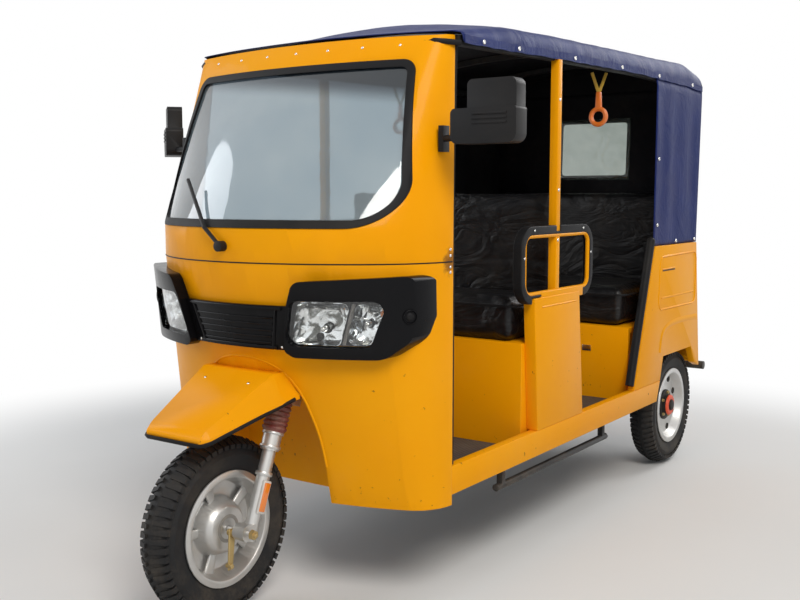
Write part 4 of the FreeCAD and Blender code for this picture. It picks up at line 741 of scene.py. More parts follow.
@cache
def clear_lens():
    material, tree, surface = shader("clear_lens", Transmission_Weight=1.0, IOR=1.35,
                                     Metallic=0.0, Coat_Weight=0.3)
    haze = cloud(tree, object_place(tree), 30.0, 4.0)
    tint = blend_colour(tree, between(tree, haze, 0.35, 0.8), (0.97, 0.98, 0.98, 1),
                        (0.86, 0.87, 0.85, 1))
    dress(tree, surface, tint, between(tree, haze, 0.3, 0.8, 0.01, 0.07))
    return material


def finish_nodes(material, *nodes):
    """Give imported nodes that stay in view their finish."""
    for node in nodes:
        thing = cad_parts[node]
        if not thing.material_slots:
            thing.data.materials.append(material)
        for held in thing.material_slots:
            held.material = material


def dome_screw(place, normal, radius):
    """Pan head screw standing on a surface."""
    made = bmesh.new()
    bmesh.ops.create_uvsphere(made, u_segments=12, v_segments=6, radius=radius)
    bmesh.ops.scale(made, vec=(1, 1, 0.55), verts=made.verts)
    return moved(made, Matrix.Translation(place) @ frame_along(normal))


def screws(name, places, radius):
    piece(name, joined([dome_screw(p, n, radius) for p, n in places]), bright_steel(), "body",
          smooth=60)


def disc_on(place, normal, profile, steps=36):
    """Turned trim standing on a surface: profile rows are (height above it, radius)."""
    return lathe(profile, place, normal, steps)


# Lamps, mask and grille

INNER_BOWL = ((0.199, 0.792), (0.330, 0.792), (0.366, 0.910), (0.234, 0.910))
OUTER_BOWL = ((0.346, 0.792), (0.404, 0.792), (0.449, 0.910), (0.382, 0.910))


def bowl(face, outline, corner, rings, side):
    """Deep reflector: its outline on the lens face, drawn together as it goes back."""
    edge = rounded([(x, z) for x, z in outline], corner, 5)
    mid = sum((Vector(p) for p in edge), Vector((0, 0))) / len(edge)
    loops = []
    for share, depth in rings:
        loop = []
        for p in edge:
            x, z = mid + (Vector(p) - mid) * share
            spot, normal = face.front(x, z)
            loop.append((side * spot.x, spot.y + depth, spot.z))
        loops.append(loop)
    made = bmesh.new()
    sets = [ring_of(made, loop) for loop in loops]
    for low, high in zip(sets, sets[1:]):
        bmesh.ops.bridge_loops(made, edges=low + high)
    bmesh.ops.contextual_create(made, geom=sets[-1])
    faced(made, (0, -1, 0))
    bmesh.ops.solidify(made, geom=made.faces, thickness=0.0015)
    return made


class RICKSHAW_OT_lamps(Operator):
    """Lamp mask with its bezels, lenses, reflector bowls, grille slats and side markers"""
    bl_idname = "rickshaw.lamps"
    bl_label = "Lamps and mask"

    def execute(self, context):
        eased("lamp_mask", "_shell", 0.009, 4, 40, gloss_black(), 40)
        face = Surface("headlamp_left")
        mask = Surface("lamp_mask")
        for side, word in SIDES:
            shell = copy_of("headlamp_" + word, flatten=0)
            shell.normal_update()
            away = [f for f in shell.faces if f.normal.y > -0.35]
            bmesh.ops.delete(shell, geom=away, context="FACES")
            back = shell.copy()
            bmesh.ops.solidify(shell, geom=shell.faces, thickness=0.002)
            bmesh.ops.recalc_face_normals(shell, faces=shell.faces)
            piece("headlamp_%s_lens" % word, shell, clear_lens(), "body",
                  ("headlamp_" + word,), 40)
            bmesh.ops.translate(back, vec=(0, 0.046, 0), verts=back.verts)
            bmesh.ops.solidify(back, geom=back.faces, thickness=0.002)
            piece("headlamp_%s_back" % word, back, black_plastic(), "body")
            rings = ((1.0, 0.005), (0.95, 0.018), (0.80, 0.032), (0.52, 0.040), (0.16, 0.043))
            inner = bowl(face, INNER_BOWL, 0.016, rings, side)
            outer = bowl(face, OUTER_BOWL, 0.020, rings, side)
            piece("headlamp_%s_bowls" % word, joined([inner, outer]), chrome_bowl(), "body",
                  smooth=30)
            rows = []
            for x, z, r in ((0.284, 0.836, 0.0090), (0.396, 0.852, 0.008)):
                spot, normal = face.front(x, z)
                here = Vector((side * spot.x, spot.y + 0.036, spot.z))
                rows.append(lathe([(0, 0), (0, r), (0.010, r), (0.020, r * 0.8), (0.024, r * 0.4),
                                   (0.025, 0)], here, (0, -1, 0), 20))
            piece("headlamp_%s_bulbs" % word, joined(rows), bright_steel(), "body")
            # Black discs in the bowls: the two round the bulbs are sockets, the other two are
            # painted dark reflections on the chrome.
            holes = []
            for x, z, r in ((0.284, 0.836, 0.0125), (0.262, 0.812, 0.0105), (0.338, 0.866, 0.0075),
                            (0.396, 0.852, 0.0110)):
                spot, normal = face.front(x, z)
                holes.append(disc_on(Vector((side * spot.x, spot.y + 0.034, spot.z)), (0, -1, 0),
                                     [(0, 0), (0.001, r * 0.5), (0.0015, r), (0, r * 1.08)], 24))
            piece("headlamp_%s_sockets" % word, joined(holes), black_rubber(), "body")
            strip = []
            for z in (0.794, 0.825, 0.86, 0.908):
                share = (z - 0.792) / 0.118
                spot, normal = face.front(0.338 + 0.036 * share, z)
                strip.append((side * spot.x, spot.y + 0.009, spot.z))
            piece("headlamp_%s_divider" % word, tube(strip, 0.0052, 12, curve="POLY"),
                  coated("divider_grey", (0.16, 0.145, 0.13), 0.3, dirt_amount=0.1), "body")
            amber = face.front(0.428, 0.880)[0]
            piece("headlamp_%s_amber" % word, disc_on(
                Vector((side * amber.x, amber.y + 0.030, amber.z)), (0, -1, 0),
                [(0, 0), (0, 0.009), (0.006, 0.008), (0.009, 0.004), (0.010, 0)], 20),
                amber_lens(), "body")
            spot, normal = mask.front(0.499, 0.874)
            facing = Vector((side * normal.x, normal.y, normal.z))
            here = Vector((side * spot.x, spot.y, spot.z)) + facing * 0.0006
            piece("side_marker_%s_ring" % word, disc_on(here, facing, [
                (0, 0.0215), (0.004, 0.0205), (0.005, 0.018), (0.0005, 0.0155), (0.0002, 0)]),
                gloss_black(), "body", smooth=50)
            piece("side_marker_%s_lens" % word, disc_on(
                here + facing * 0.0004, facing,
                [(0, 0.012), (0.003, 0.010), (0.004, 0.006), (0.0045, 0)]),
                black_rubber(), "body", smooth=50)
        slats = []
        for z in (0.790, 0.808, 0.826, 0.844, 0.862):
            reach = 0.128 + (z - 0.786) * 0.25
            line = [mask.front(reach * (k / 8 - 1), z)[0] + Vector((0, -0.001, 0))
                    for k in range(17)]
            slats.append(tube(line, 0.0028, 8, curve="POLY"))
        piece("grille_slats", joined(slats), gloss_black(), "body", smooth=60)
        lips = []
        for z, reach in ((0.890, 0.178), (0.777, 0.146)):
            line = [mask.front(reach * (k / 10 - 1), z)[0] + Vector((0, -0.001, 0))
                    for k in range(21)]
            lips.append(tube(line, 0.0055, 10, curve="POLY"))
        for side in (-1, 1):
            line = [mask.front(side * (0.134 + 0.026 * k / 4), 0.780 + 0.106 * k / 4)[0]
                    + Vector((0, -0.001, 0)) for k in range(5)]
            lips.append(tube(line, 0.0045, 10, curve="POLY"))
        piece("grille_frame", joined(lips), gloss_black(), "body", smooth=60)
        screws("grille_screws", [mask.front(x, 0.778) for x in (-0.160, 0.160)],
               0.0045)
        return {"FINISHED"}


# Trim on the nose, cowl and header

def along_surface(face, places, lift):
    return [face.front(x, z)[0] + face.front(x, z)[1] * lift for x, z in places]


class RICKSHAW_OT_front_trim(Operator):
    """Painted seam shade, arch bead, screws, pillar rubber and roof gutter"""
    bl_idname = "rickshaw.front_trim"
    bl_label = "Front trim"

    def execute(self, context):
        nose = Surface("nose_panel")
        centre = at(0, 0.424, 1.0146)
        spots = []
        for k in range(49):
            way = Vector((math.cos(math.pi * k / 48), -math.sin(math.pi * k / 48), 0))
            spots.append(nose.hit(centre + way * 1.5, -way)[0])
        # Black cord along the joint of nose and cowl: painted shade of the seam's groove.
        piece("nose_seam", tube([p + Vector((0, 0.0006, 0.0004)) for p in spots], 0.0021, 8,
                               curve="POLY"), black_rubber(), "body", smooth=60)
        arch = [(0.225, 0.42), (0.223, 0.50), (0.207, 0.565), (0.190, 0.628), (0.160, 0.680),
                (0.118, 0.716), (0.062, 0.734), (0.0, 0.740)]
        line = arch + [(-x, z) for x, z in reversed(arch[:-1])]
        piece("arch_bead", tube(along_surface(nose, line, -0.0022), 0.0046, 12, order=4),
              body_paint(), "body", smooth=60)
        frame_face = Surface("windscreen_frame")
        heads = [(x, 1.626) for x in (-0.36, -0.24, -0.12, 0.0, 0.12, 0.24, 0.36)]
        screws("header_screws", [frame_face.front(x, z) for x, z in heads], 0.0045)
        rows = []
        for side in (-1, 1):
            for z in (0.985, 1.000, 1.032, 1.050):
                rows.append(Surface("nose_panel", "windscreen_frame").hit(
                    (side * 1.0, AXLE.y + 0.415, z), (-side, 0, 0)))
        screws("pillar_screws", rows, 0.0048)
        for side, word in SIDES:
            line = [at(side * 0.512, 0.437, 0.425), at(side * 0.512, 0.437, 0.70),
                    at(side * 0.512, 0.437, 1.02), at(side * 0.509, 0.440, 1.12),
                    at(side * 0.496, 0.466, 1.40), at(side * 0.483, 0.494, 1.632)]
            piece("door_rubber_" + word, tube(line, 0.0075, 10), black_rubber(), "body",
                  smooth=60)
        gutter = [at(x, hood_front(x) - 0.003, 1.643 - 0.012 * abs(x / 0.5) ** 3)
                  for x in [0.506 * (k / 20 - 1) for k in range(41)]]
        piece("roof_gutter", tube(gutter, 0.0085, 10, curve="POLY"), black_rubber(), "body",
              smooth=60)
        return {"FINISHED"}


# Windscreen

@cache
def screen_glass():
    material, tree, surface = shader("screen_glass", Transmission_Weight=0.72, IOR=1.5,
                                     Metallic=0.0, Coat_Weight=0.5)
    where = object_place(tree)
    height = axis_of(tree, where, "Z")
    side = axis_of(tree, where, "X")
    band = between(tree, sums(tree, "MULTIPLY_ADD", side, 0.10, height), 1.485, 1.545)
    film = between(tree, cloud(tree, where, 2.2, 5.0, 0.6), 0.35, 0.8)
    tint = blend_colour(tree, film, (0.30, 0.38, 0.43, 1), (0.40, 0.47, 0.50, 1))
    tint = blend_colour(tree, band, tint, (0.055, 0.075, 0.095, 1))
    smear = cloud(tree, where, 9.0, 5.0, 0.7)
    dress(tree, surface, tint, between(tree, smear, 0.4, 0.8, 0.03, 0.09))
    return material


class RICKSHAW_OT_screen(Operator):
    """Windscreen glass with its shade band, the rubber seal and the wiper"""
    bl_idname = "rickshaw.screen"
    bl_label = "Windscreen"

    def execute(self, context):
        finish_nodes(screen_glass(), "windscreen_glass")
        made = copy_of("windscreen_seal")
        soften(made, 0.0055, 3, 40)
        piece("windscreen_rubber", made, black_rubber(), "body",
              ("windscreen_seal",), 45)
        made = copy_of("wiper")
        made.normal_update()
        for vert in made.verts:
            vert.co += vert.normal * 0.0014
        soften(made, 0.0008, 2, 50)
        piece("wiper_arm", made, black_plastic(), "body", ("wiper",), 50)
        return {"FINISHED"}


# Front mudguard

class RICKSHAW_OT_mudguard(Operator):
    """Front mudguard with its rubber lip and screws"""
    bl_idname = "rickshaw.mudguard"
    bl_label = "Front mudguard"

    def execute(self, context):
        made = copy_of("front_mudguard")
        broad = [e for e in sharp_edges(made, 12)
                 if min(2 * f.calc_area() / f.calc_perimeter() for f in e.link_faces) > 0.006]
        soften(made, 0.022, 6, edges=broad)
        piece("front_mudguard_painted", made, body_paint(), "body",
              ("front_mudguard",), 40)
        half = [(0.176, 0.140, 0.6265), (0.150, 0.000, 0.588), (0.1225, -0.138, 0.5475),
                (0.114, -0.154, 0.5425), (0.100, -0.1615, 0.541)]
        line = [at(x - 0.002, back, z) for x, back, z in half]
        line += [at(0.002 - x, back, z) for x, back, z in reversed(half)]
        piece("front_mudguard_lip", tube(line, 0.0062, 10, curve="POLY"), black_rubber(), "body",
              smooth=60)
        guard = Surface("front_mudguard")
        screws("front_mudguard_screws", [
            guard.hit(at(side * 0.085, 0.045, 1.0), (0, 0, -1)) for side in (-1, 1)],
            0.0042)
        return {"FINISHED"}


# Wheels

def tyre_mesh(middle, width, radius, seat):
    """Carcass turned about X with rows of separate tread lugs round it."""
    half = width / 2
    floor = radius - 0.009
    profile = [(-0.037, seat), (-0.041, seat + 0.015), (-half + 0.004, seat + 0.036),
               (-half + 0.0005, (seat + radius) / 2 + 0.004), (-half + 0.003, radius - 0.046),
               (-half + 0.010, radius - 0.028), (-half + 0.020, floor - 0.008), (-0.018, floor),
               (0.018, floor), (half - 0.020, floor - 0.008), (half - 0.010, radius - 0.028),
               (half - 0.003, radius - 0.046), (half - 0.0005, (seat + radius) / 2 + 0.004),
               (half - 0.004, seat + 0.036), (0.041, seat + 0.015), (0.037, seat)]
    made = lathe(profile, (0, 0, 0), (1, 0, 0), 56, closed=True)
    lugs = []
    rows = 62
    for k in range(rows):
        for side in (-1, 1):
            block = bmesh.new()
            bmesh.ops.create_cube(block, size=1.0)
            bmesh.ops.scale(block, vec=(0.041, 0.0175, 0.013), verts=block.verts)
            outer = [v for v in block.verts if v.co.x * side > 0]
            inner = [v for v in block.verts if v.co.x * side < 0]
            bmesh.ops.translate(block, vec=(0, 0, -0.020), verts=outer)
            bmesh.ops.scale(block, vec=(1, 0.72, 1), verts=inner)
            bmesh.ops.translate(block, vec=(0, side * 0.004, 0), verts=outer)
            top = [v for v in block.verts if v.co.z > -0.012]
            bmesh.ops.scale(block, vec=(0.97, 0.90, 1), verts=top)
            bmesh.ops.translate(block, vec=(side * 0.0295, 0, radius - 0.0080), verts=block.verts)
            angle = math.tau * (k + (0.5 if side > 0 else 0.0)) / rows
            bmesh.ops.rotate(block, cent=(0, 0, 0), matrix=Matrix.Rotation(angle, 3, "X"),
                             verts=block.verts)
            lugs.append(block)
    for x in (-0.049, 0.049):
        bead = lathe([(-0.0012, 0.198), (0.0, 0.2015), (0.0012, 0.198)], (x, 0, 0), (1, 0, 0), 48)
        lugs.append(bead)
    return moved(joined([made] + lugs), Matrix.Translation(middle))


def tyre_rubber():
    return coated("tyre_rubber", finishes().tyre, 0.70, grain=300.0, depth=0.35, bump=0.4,
                  distance=0.001, dirt_amount=0.16, dirt_reach=0.75, dirt_scale=9.0, specular=0.25)


def wheel_place(node):
    low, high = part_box(node)
    return (low + high) / 2


class RICKSHAW_OT_wheels(Operator):
    """Tyres with tread lugs, front wheel with its drum and rear wheels with their hubs"""
    bl_idname = "rickshaw.wheels"
    bl_label = "Wheels"

    def execute(self, context):
        rows = (("front_tyre", "front_wheel"), ("rear_tyre_left", "rear_wheel_left"),
                ("rear_tyre_right", "rear_wheel_right"))
        for node, body in rows:
            low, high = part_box(node)
            made = tyre_mesh((low + high) / 2, 0.1066, (high.z - low.z) / 2, 0.1525)
            piece(node + "_tread", made, tyre_rubber(), body, (node,), 28)
        middle = wheel_place("front_rim")
        eased("front_rim", "_painted", 0.003, 2, 30, silver_paint(), 30,
              "front_wheel")
        spokes = []
        for k in range(5):
            for side in (-1, 1):
                rib = slab((-0.0055, -0.013, 0.080), (0.0055, 0.013, 0.146), 0.005, 3)
                foot = [v for v in rib.verts if v.co.z > 0.11]
                bmesh.ops.scale(rib, vec=(1, 1.5, 1), verts=foot)
                bmesh.ops.translate(rib, vec=(side * 0.012 - 0.010, 0, 0), verts=rib.verts)
                bmesh.ops.rotate(rib, cent=(0, 0, 0), verts=rib.verts,
                                 matrix=Matrix.Rotation(math.tau * (k + 0.25) / 5, 3, "X"))
                spokes.append(rib)
        made = moved(joined(spokes), Matrix.Translation(middle))
        piece("front_wheel_ribs", made, silver_paint(), "front_wheel", smooth=40)
        rings = [lathe([(0.0, 0.030), (0.0, 0.060), (0.004, 0.0635), (0.008, 0.060), (0.010, 0.034),
                        (0.010, 0.030)], middle + Vector((side * 0.0325, 0, 0)), (side, 0, 0), 48,
                       closed=True) for side in (-1, 1)]
        piece("front_drum_covers", joined(rings), casting(), "front_wheel", smooth=40)
        for side, word in SIDES:
            body = "rear_wheel_" + word
            node = "rear_rim_" + word
            middle = wheel_place(node)
            eased(node, "_painted", 0.0025, 2, 30, silver_paint(), 30, body)
            face = Surface(node)
            nuts = []
            holes = []
            for k in range(5):
                angle = math.tau * (k + 0.1) / 5
                spot = middle + Vector((side * 0.0205, 0.055 * math.cos(angle),
                                        0.055 * math.sin(angle)))
                nut = bmesh.new()
                bmesh.ops.create_cone(nut, cap_ends=True, segments=6, radius1=0.0080,
                                      radius2=0.0066, depth=0.012)
                nuts.append(moved(nut, Matrix.Translation(spot + Vector((side * 0.006, 0, 0)))
                                  @ frame_along((side, 0, 0))))
            # Black discs with a raised lip on the disc wheel: painted shade standing for the dark
            # vent holes.
            for k in range(8):
                angle = math.tau * (k + 0.5) / 8
                spot, normal = face.hit(middle + Vector((side * 0.3, 0.118 * math.cos(angle),
                                                         0.118 * math.sin(angle))), (-side, 0, 0))
                holes.append(lathe([(0.0010, 0.0), (0.0012, 0.0105), (0.0030, 0.0125),
                                    (0.0012, 0.0145), (-0.001, 0.0150)], spot, (side, 0, 0), 20))
            piece("rear_wheel_nuts_" + word, joined(nuts), zinc_plate(), body,
                  smooth=30)
            piece("rear_wheel_holes_" + word, joined(holes), black_rubber(), body,
                  smooth=50)
            here = middle + Vector((side * 0.018, 0, 0))
            plate_at = [(-0.0035, 0.0680), (0.0035, 0.0675), (0.0060, 0.0645), (0.0070, 0.0440),
                        (0.0210, 0.0425), (0.0225, 0.0400), (0.0225, 0.0)]
            cap = [(0.018, 0.0250), (0.032, 0.0242), (0.036, 0.0215), (0.0385, 0.012),
                   (0.0385, 0.0)]
            piece("rear_hub_cap_" + word, joined([disc_on(here, (side, 0, 0), plate_at),
                                                  disc_on(here, (side, 0, 0), cap)]),
                  black_plastic(), body, smooth=40)
            piece("rear_hub_ring_" + word, disc_on(here, (side, 0, 0), [
                (0.0190, 0.0422), (0.0205, 0.0455), (0.0265, 0.0450), (0.0295, 0.0410),
                (0.0300, 0.0340), (0.0290, 0.0255), (0.0260, 0.0235)]),
                coated("hub_ring", finishes().hub_red, 0.4, dirt_amount=0.15), body,
                smooth=60)
        return {"FINISHED"}


# Steering fork, its boots, reflectors and brake

LEG_X = 0.100
RAKE = math.radians(21)
LEG_WAY = Vector((0, math.sin(RAKE), math.cos(RAKE)))


def leg_at(side, z):
    """Middle of a fork leg at one height."""
    return at(side * LEG_X, 0.030 + (z - 0.262) * math.tan(RAKE), z)


class RICKSHAW_OT_fork(Operator):
    """Fork finish, dust boots, leg collars, reflectors, brake arm, levers and instrument pod"""
    bl_idname = "rickshaw.fork"
    bl_label = "Fork and handlebar"

    def execute(self, context):
        finish_nodes(silver_paint(), "steering_fork")
        finish_nodes(black_plastic(), "handlebar")
        boots = []
        collars = []
        for side in (-1, 1):
            profile = [(0.0, 0.0312)]
            for k in range(6):
                low = 0.004 + k * 0.0145
                profile += [(low, 0.0318), (low + 0.005, 0.0362), (low + 0.0095, 0.0362),
                            (low + 0.0140, 0.0318)]
            profile += [(0.0915, 0.0312)]
            foot = leg_at(side, 0.524)
            boots.append(lathe(profile, foot, LEG_WAY, 28))
            for z, reach, tall in ((0.4785, 0.0295, 0.010), (0.517, 0.0300, 0.0075),
                                   (0.405, 0.0235, 0.012)):
                collars.append(lathe([(0, 0.0205), (0, reach), (tall * 0.3, reach + 0.0015),
                                      (tall * 0.7, reach + 0.0015), (tall, reach), (tall, 0.0205)],
                                     leg_at(side, z), LEG_WAY, 28))
        piece("fork_boots", joined(boots), coated(
            "boot_rubber", (0.155, 0.018, 0.014), 0.5, dirt_amount=1.0, dirt_scale=14.0,
            grain=200.0),
            "fork", smooth=40)
        piece("fork_collars", joined(collars), silver_paint(), "fork", smooth=40)
        frames = []
        lenses = []
        for side in (-1, 1):
            spot = leg_at(side, 0.351) + Vector((side * 0.0215, -0.002, 0))
            turned_to = Matrix.Translation(spot) @ (
                frame_along(LEG_WAY, (side, 0, 0)))
            frames.append(moved(slab((-0.016, -0.004, -0.047), (0.016, 0.004, 0.047), 0.003, 2),
                                turned_to))
            lenses.append(moved(slab((-0.0115, 0.001, -0.041), (0.0115, 0.0062, 0.041), 0.0015, 2),
                                turned_to))
        white = coated("reflector_frame", (0.72, 0.72, 0.70), 0.35, dirt_amount=0.6)
        piece("fork_reflector_frames", joined(frames), white, "fork", smooth=40)
        piece("fork_reflectors", joined(lenses), amber_lens(), "fork", smooth=40)
        arm = slab((0.066, -0.013, -0.102), (0.071, 0.013, 0.016), 0.004, 3)
        low = [v for v in arm.verts if v.co.z < -0.05]
        bmesh.ops.scale(arm, vec=(1, 0.7, 1), verts=low)
        bmesh.ops.translate(arm, vec=(0, -0.010, 0), verts=low)
        parts = [moved(arm, Matrix.Translation(at(0, -0.012, 0.255)))]
        parts.append(rod(at(0.060, -0.026, 0.166), at(0.082, -0.026, 0.166), 0.007, 16))
        parts.append(rod(at(0.056, -0.012, 0.258), at(0.080, -0.012, 0.258), 0.010, 18))
        piece("brake_arm", joined(parts), zinc_plate(), "fork", smooth=35)
        nuts = []
        for side in (-1, 1):
            end = bmesh.new()
            bmesh.ops.create_cone(end, cap_ends=True, segments=6, radius1=0.015, radius2=0.0135,
                                  depth=0.012)
            place = Matrix.Translation(at(side * 0.139, 0, 0.262))
            nuts.append(moved(end, place @ frame_along((side, 0, 0))))
            nuts.append(rod(at(side * 0.134, 0, 0.262), at(side * 0.151, 0, 0.262), 0.007, 14))
        piece("fork_axle_nuts", joined(nuts), zinc_plate(), "fork", smooth=35)
        levers = []
        low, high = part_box("handlebar")
        for side in (-1, 1):
            root = Vector((side * 0.150, low.y + 0.030, high.z - 0.030))
            levers.append(tube([root, root + Vector((side * 0.045, -0.020, 0.010)),
                                root + Vector((side * 0.110, 0.012, 0.004)),
                                root + Vector((side * 0.150, 0.052, -0.004))], 0.005, 10, order=3))
            levers.append(slab(root + Vector((-0.026, -0.014, -0.016)),
                               root + Vector((0.026, 0.030, 0.026)), 0.006, 3))
        piece("handlebar_levers", joined(levers), black_plastic(), "fork", smooth=40)
        top = Vector((0, (low.y + high.y) / 2 - 0.028, high.z - 0.012))
        pod = slab(top + Vector((-0.070, -0.055, -0.020)), top + Vector((0.070, 0.030, 0.024)),
                   0.014, 4)
        piece("instrument_pod", pod, black_plastic(), "fork", smooth=40)
        dial = disc_on(top + Vector((0, -0.008, 0.0235)), (0, 0.0, 1.0),
                       [(0, 0.034), (0.003, 0.034), (0.003, 0.030), (0.0015, 0.029), (0.0015, 0)])
        piece("instrument_dial", dial, gloss_black(), "fork", smooth=40)
        return {"FINISHED"}


# Seats: padded vinyl under a clear film

@cache
def seat_vinyl():
    material, tree, surface = shader("seat_vinyl", Metallic=0.0, Coat_Weight=0.16,
                                     Coat_Roughness=0.16, Specular_IOR_Level=0.20)
    where = object_place(tree)
    stretched = drawn_out(tree, where, (0.8, 1.4, 1.8), (0.0, 0.5, 0.3))
    folds = cloud(tree, stretched, 4.5, 3.0, 0.5, 1.6)
    crease = sums(tree, "ABSOLUTE", sums(tree, "SUBTRACT", folds, 0.5))
    grain = cloud(tree, where, 420.0, 2.0, 0.5)
    rise = sums(tree, "MULTIPLY_ADD", crease, 1.6, sums(tree, "MULTIPLY", grain, 0.03))
    dress(tree, surface, *dusted(tree, rgba(finishes().vinyl), 0.06, 6.0, 2.5, 0.3, 0.40),
          rise, 0.6, 0.022)
    return material


def swollen(node, inset, voxel, pressure, cap):
    """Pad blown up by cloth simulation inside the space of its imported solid."""
    made = copy_of(node)
    low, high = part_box(node)
    middle = (low + high) / 2
    span = high - low
    share = Vector([(s - 2 * inset) / s for s in span])
    bmesh.ops.translate(made, vec=-middle, verts=made.verts)
    bmesh.ops.scale(made, vec=share, verts=made.verts)
    bmesh.ops.translate(made, vec=middle, verts=made.verts)
    mesh = bpy.data.meshes.new(node + "_pad")
    made.to_mesh(mesh)
    made.free()
    thing = bpy.data.objects.new(node + "_pad", mesh)
    scene = bpy.context.scene
    scene.collection.objects.link(thing)
    bpy.context.view_layer.objects.active = thing
    for other in bpy.context.selected_objects:
        other.select_set(False)
    thing.select_set(True)
    remesh = thing.modifiers.new("remesh", "REMESH")
    remesh.mode = "VOXEL"
    remesh.voxel_size = voxel
    bpy.ops.object.modifier_apply(modifier="remesh")
    start = [v.co.copy() for v in thing.data.vertices]
    cloth = thing.modifiers.new("cloth", "CLOTH")
    cloth.settings.use_pressure = True
    cloth.settings.uniform_pressure_force = pressure
    cloth.settings.effector_weights.gravity = 0.0
    cloth.settings.quality = 4
    for number in range(1, 21):
        scene.frame_set(number)
    shape = thing.evaluated_get(bpy.context.evaluated_depsgraph_get())
    ends = [v.co.copy() for v in shape.data.vertices]
    thing.modifiers.remove(cloth)
    scene.frame_set(1)
    for vert, before, after in zip(thing.data.vertices, start, ends):
        way = after - before
        if way.length > cap:
            way = way.normalized() * cap
        vert.co = before + way
    made = bmesh.new()
    made.from_mesh(thing.data)
    bpy.data.objects.remove(thing)
    bpy.data.meshes.remove(mesh)
    return made


def channels(made, axis, places, depth, width, facing):
    """Sewn channels pressed into one face of a pad."""
    made.normal_update()
    for vert in made.verts:
        if vert.normal.dot(facing) < 0.35:
            continue
        for place in places:
            away = abs(vert.co[axis] - place) / width
            if away < 1.0:
                vert.co -= facing * depth * (1 - away * away) ** 2
    return made


PADS = (
    # node, inset, channel axis, channel places as shares, facing, fill
    ("driver_cushion", 0.010, 0, (), (0, 0, 1), 0.7),
    ("driver_backrest", 0.007, 2, (0.5,), (0, -1, 0), 0.7),
    ("rear_bench_cushion", 0.011, 0, (), (0, 0, 1), 0.7),
    ("rear_bench_back", 0.009, 2, (0.45,), (0, -1, 0), 0.7),
)


class RICKSHAW_OT_seats(Operator):
    """Driver's seat and passenger bench: swollen pads with sewn channels and piping"""
    bl_idname = "rickshaw.seats"
    bl_label = "Seats"

    def execute(self, context):
        for node, inset, axis, shares, facing, fill in PADS:
            low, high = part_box(node)
            made = swollen(node, inset, 0.011, 4.0, inset + 0.004)
            places = [low[axis] + (high[axis] - low[axis]) * share for share in shares]
            if places:
                channels(made, axis, places, 0.008, 0.016, Vector(facing))
            bmesh.ops.smooth_vert(made, verts=made.verts, factor=0.4, use_axis_x=True,
                                  use_axis_y=True, use_axis_z=True)
            for vert in made.verts:
                for n in range(3):
                    vert.co[n] = min(max(vert.co[n], low[n] + 0.0005), high[n] - 0.0005)
            pad = piece(node + "_vinyl", made, seat_vinyl(), "body", (node,), 60)
            smooth = pad.modifiers.new("smooth", "SUBSURF")
            smooth.levels = smooth.render_levels = 1
        rows = []
        for node, z_share in (("driver_cushion", 0.80), ("rear_bench_cushion", 0.80)):
            low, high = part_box(node)
            z = low.z + (high.z - low.z) * z_share
            inset = 0.004
            corner = [(low.x + inset, low.y + inset), (high.x - inset, low.y + inset),
                      (high.x - inset, high.y - inset), (low.x + inset, high.y - inset)]
            loop = [Vector((x, y, z)) for x, y in rounded(corner, 0.035, 5)]
            rows.append(tube(loop, 0.0045, 8, closed=True, curve="POLY"))
        piece("seat_piping", joined(rows), black_rubber(), "body", smooth=60)
        return {"FINISHED"}


# Hood and curtain

HOOD = ((0.396, 1.634, 1.652, 1.667), (0.786, 1.645, 1.722, 1.762), (1.106, 1.658, 1.738, 1.778),
        (1.777, 1.677, 1.760, 1.800), (2.373, 1.677, 1.780, 1.820), (2.540, 1.668, 1.752, 1.786))
HOOD_HALF = 0.514


def hood_size(back):
    """Hem, shoulder and crown height of the hood at one distance behind the front axle."""
    for low, high in zip(HOOD, HOOD[1:]):
        if back <= high[0] or high is HOOD[-1]:
            share = (back - low[0]) / (high[0] - low[0])
            return [a + (b - a) * share for a, b in zip(low[1:], high[1:])]


def hood_point(back, across, inset=0.0):
    """Place on the hood's outside: across runs from -1 at one hem to 1 at the other."""
    hem, shoulder, crown = hood_size(back)
    corner = min(0.072, (shoulder - hem) * 0.8)
    wall = shoulder - corner - hem
    arc = corner * math.pi / 2
    top = HOOD_HALF - corner
    length = (wall + arc + top) * abs(across)
    rise = crown - shoulder
    wide = (top * top + rise * rise) / (2 * rise)
    if length <= top:
        x = length
        z = crown - wide + math.sqrt(wide * wide - x * x)
    elif length <= top + arc:
        angle = (length - top) / corner
        x = top + corner * math.sin(angle)
        z = shoulder - corner + corner * math.cos(angle)
    else:
        x = HOOD_HALF
        z = shoulder - corner - (length - top - arc)
    return math.copysign(x, across), z


def hem_wave(back):
    return math.sin(back * 46 + math.sin(back * 9) * 2)


def hood_front(x):
    """Where the hood begins, over the curved roof header."""
    x = abs(x)
    if x < 0.4439:
        back = 0.392 + 2.694 - math.sqrt(2.694 ** 2 - x * x)
    elif x < 0.494:
        back = 0.488 - math.sqrt(0.06 ** 2 - (x - 0.434) ** 2)
    else:
        back = 0.488
    return max(back, 0.397)


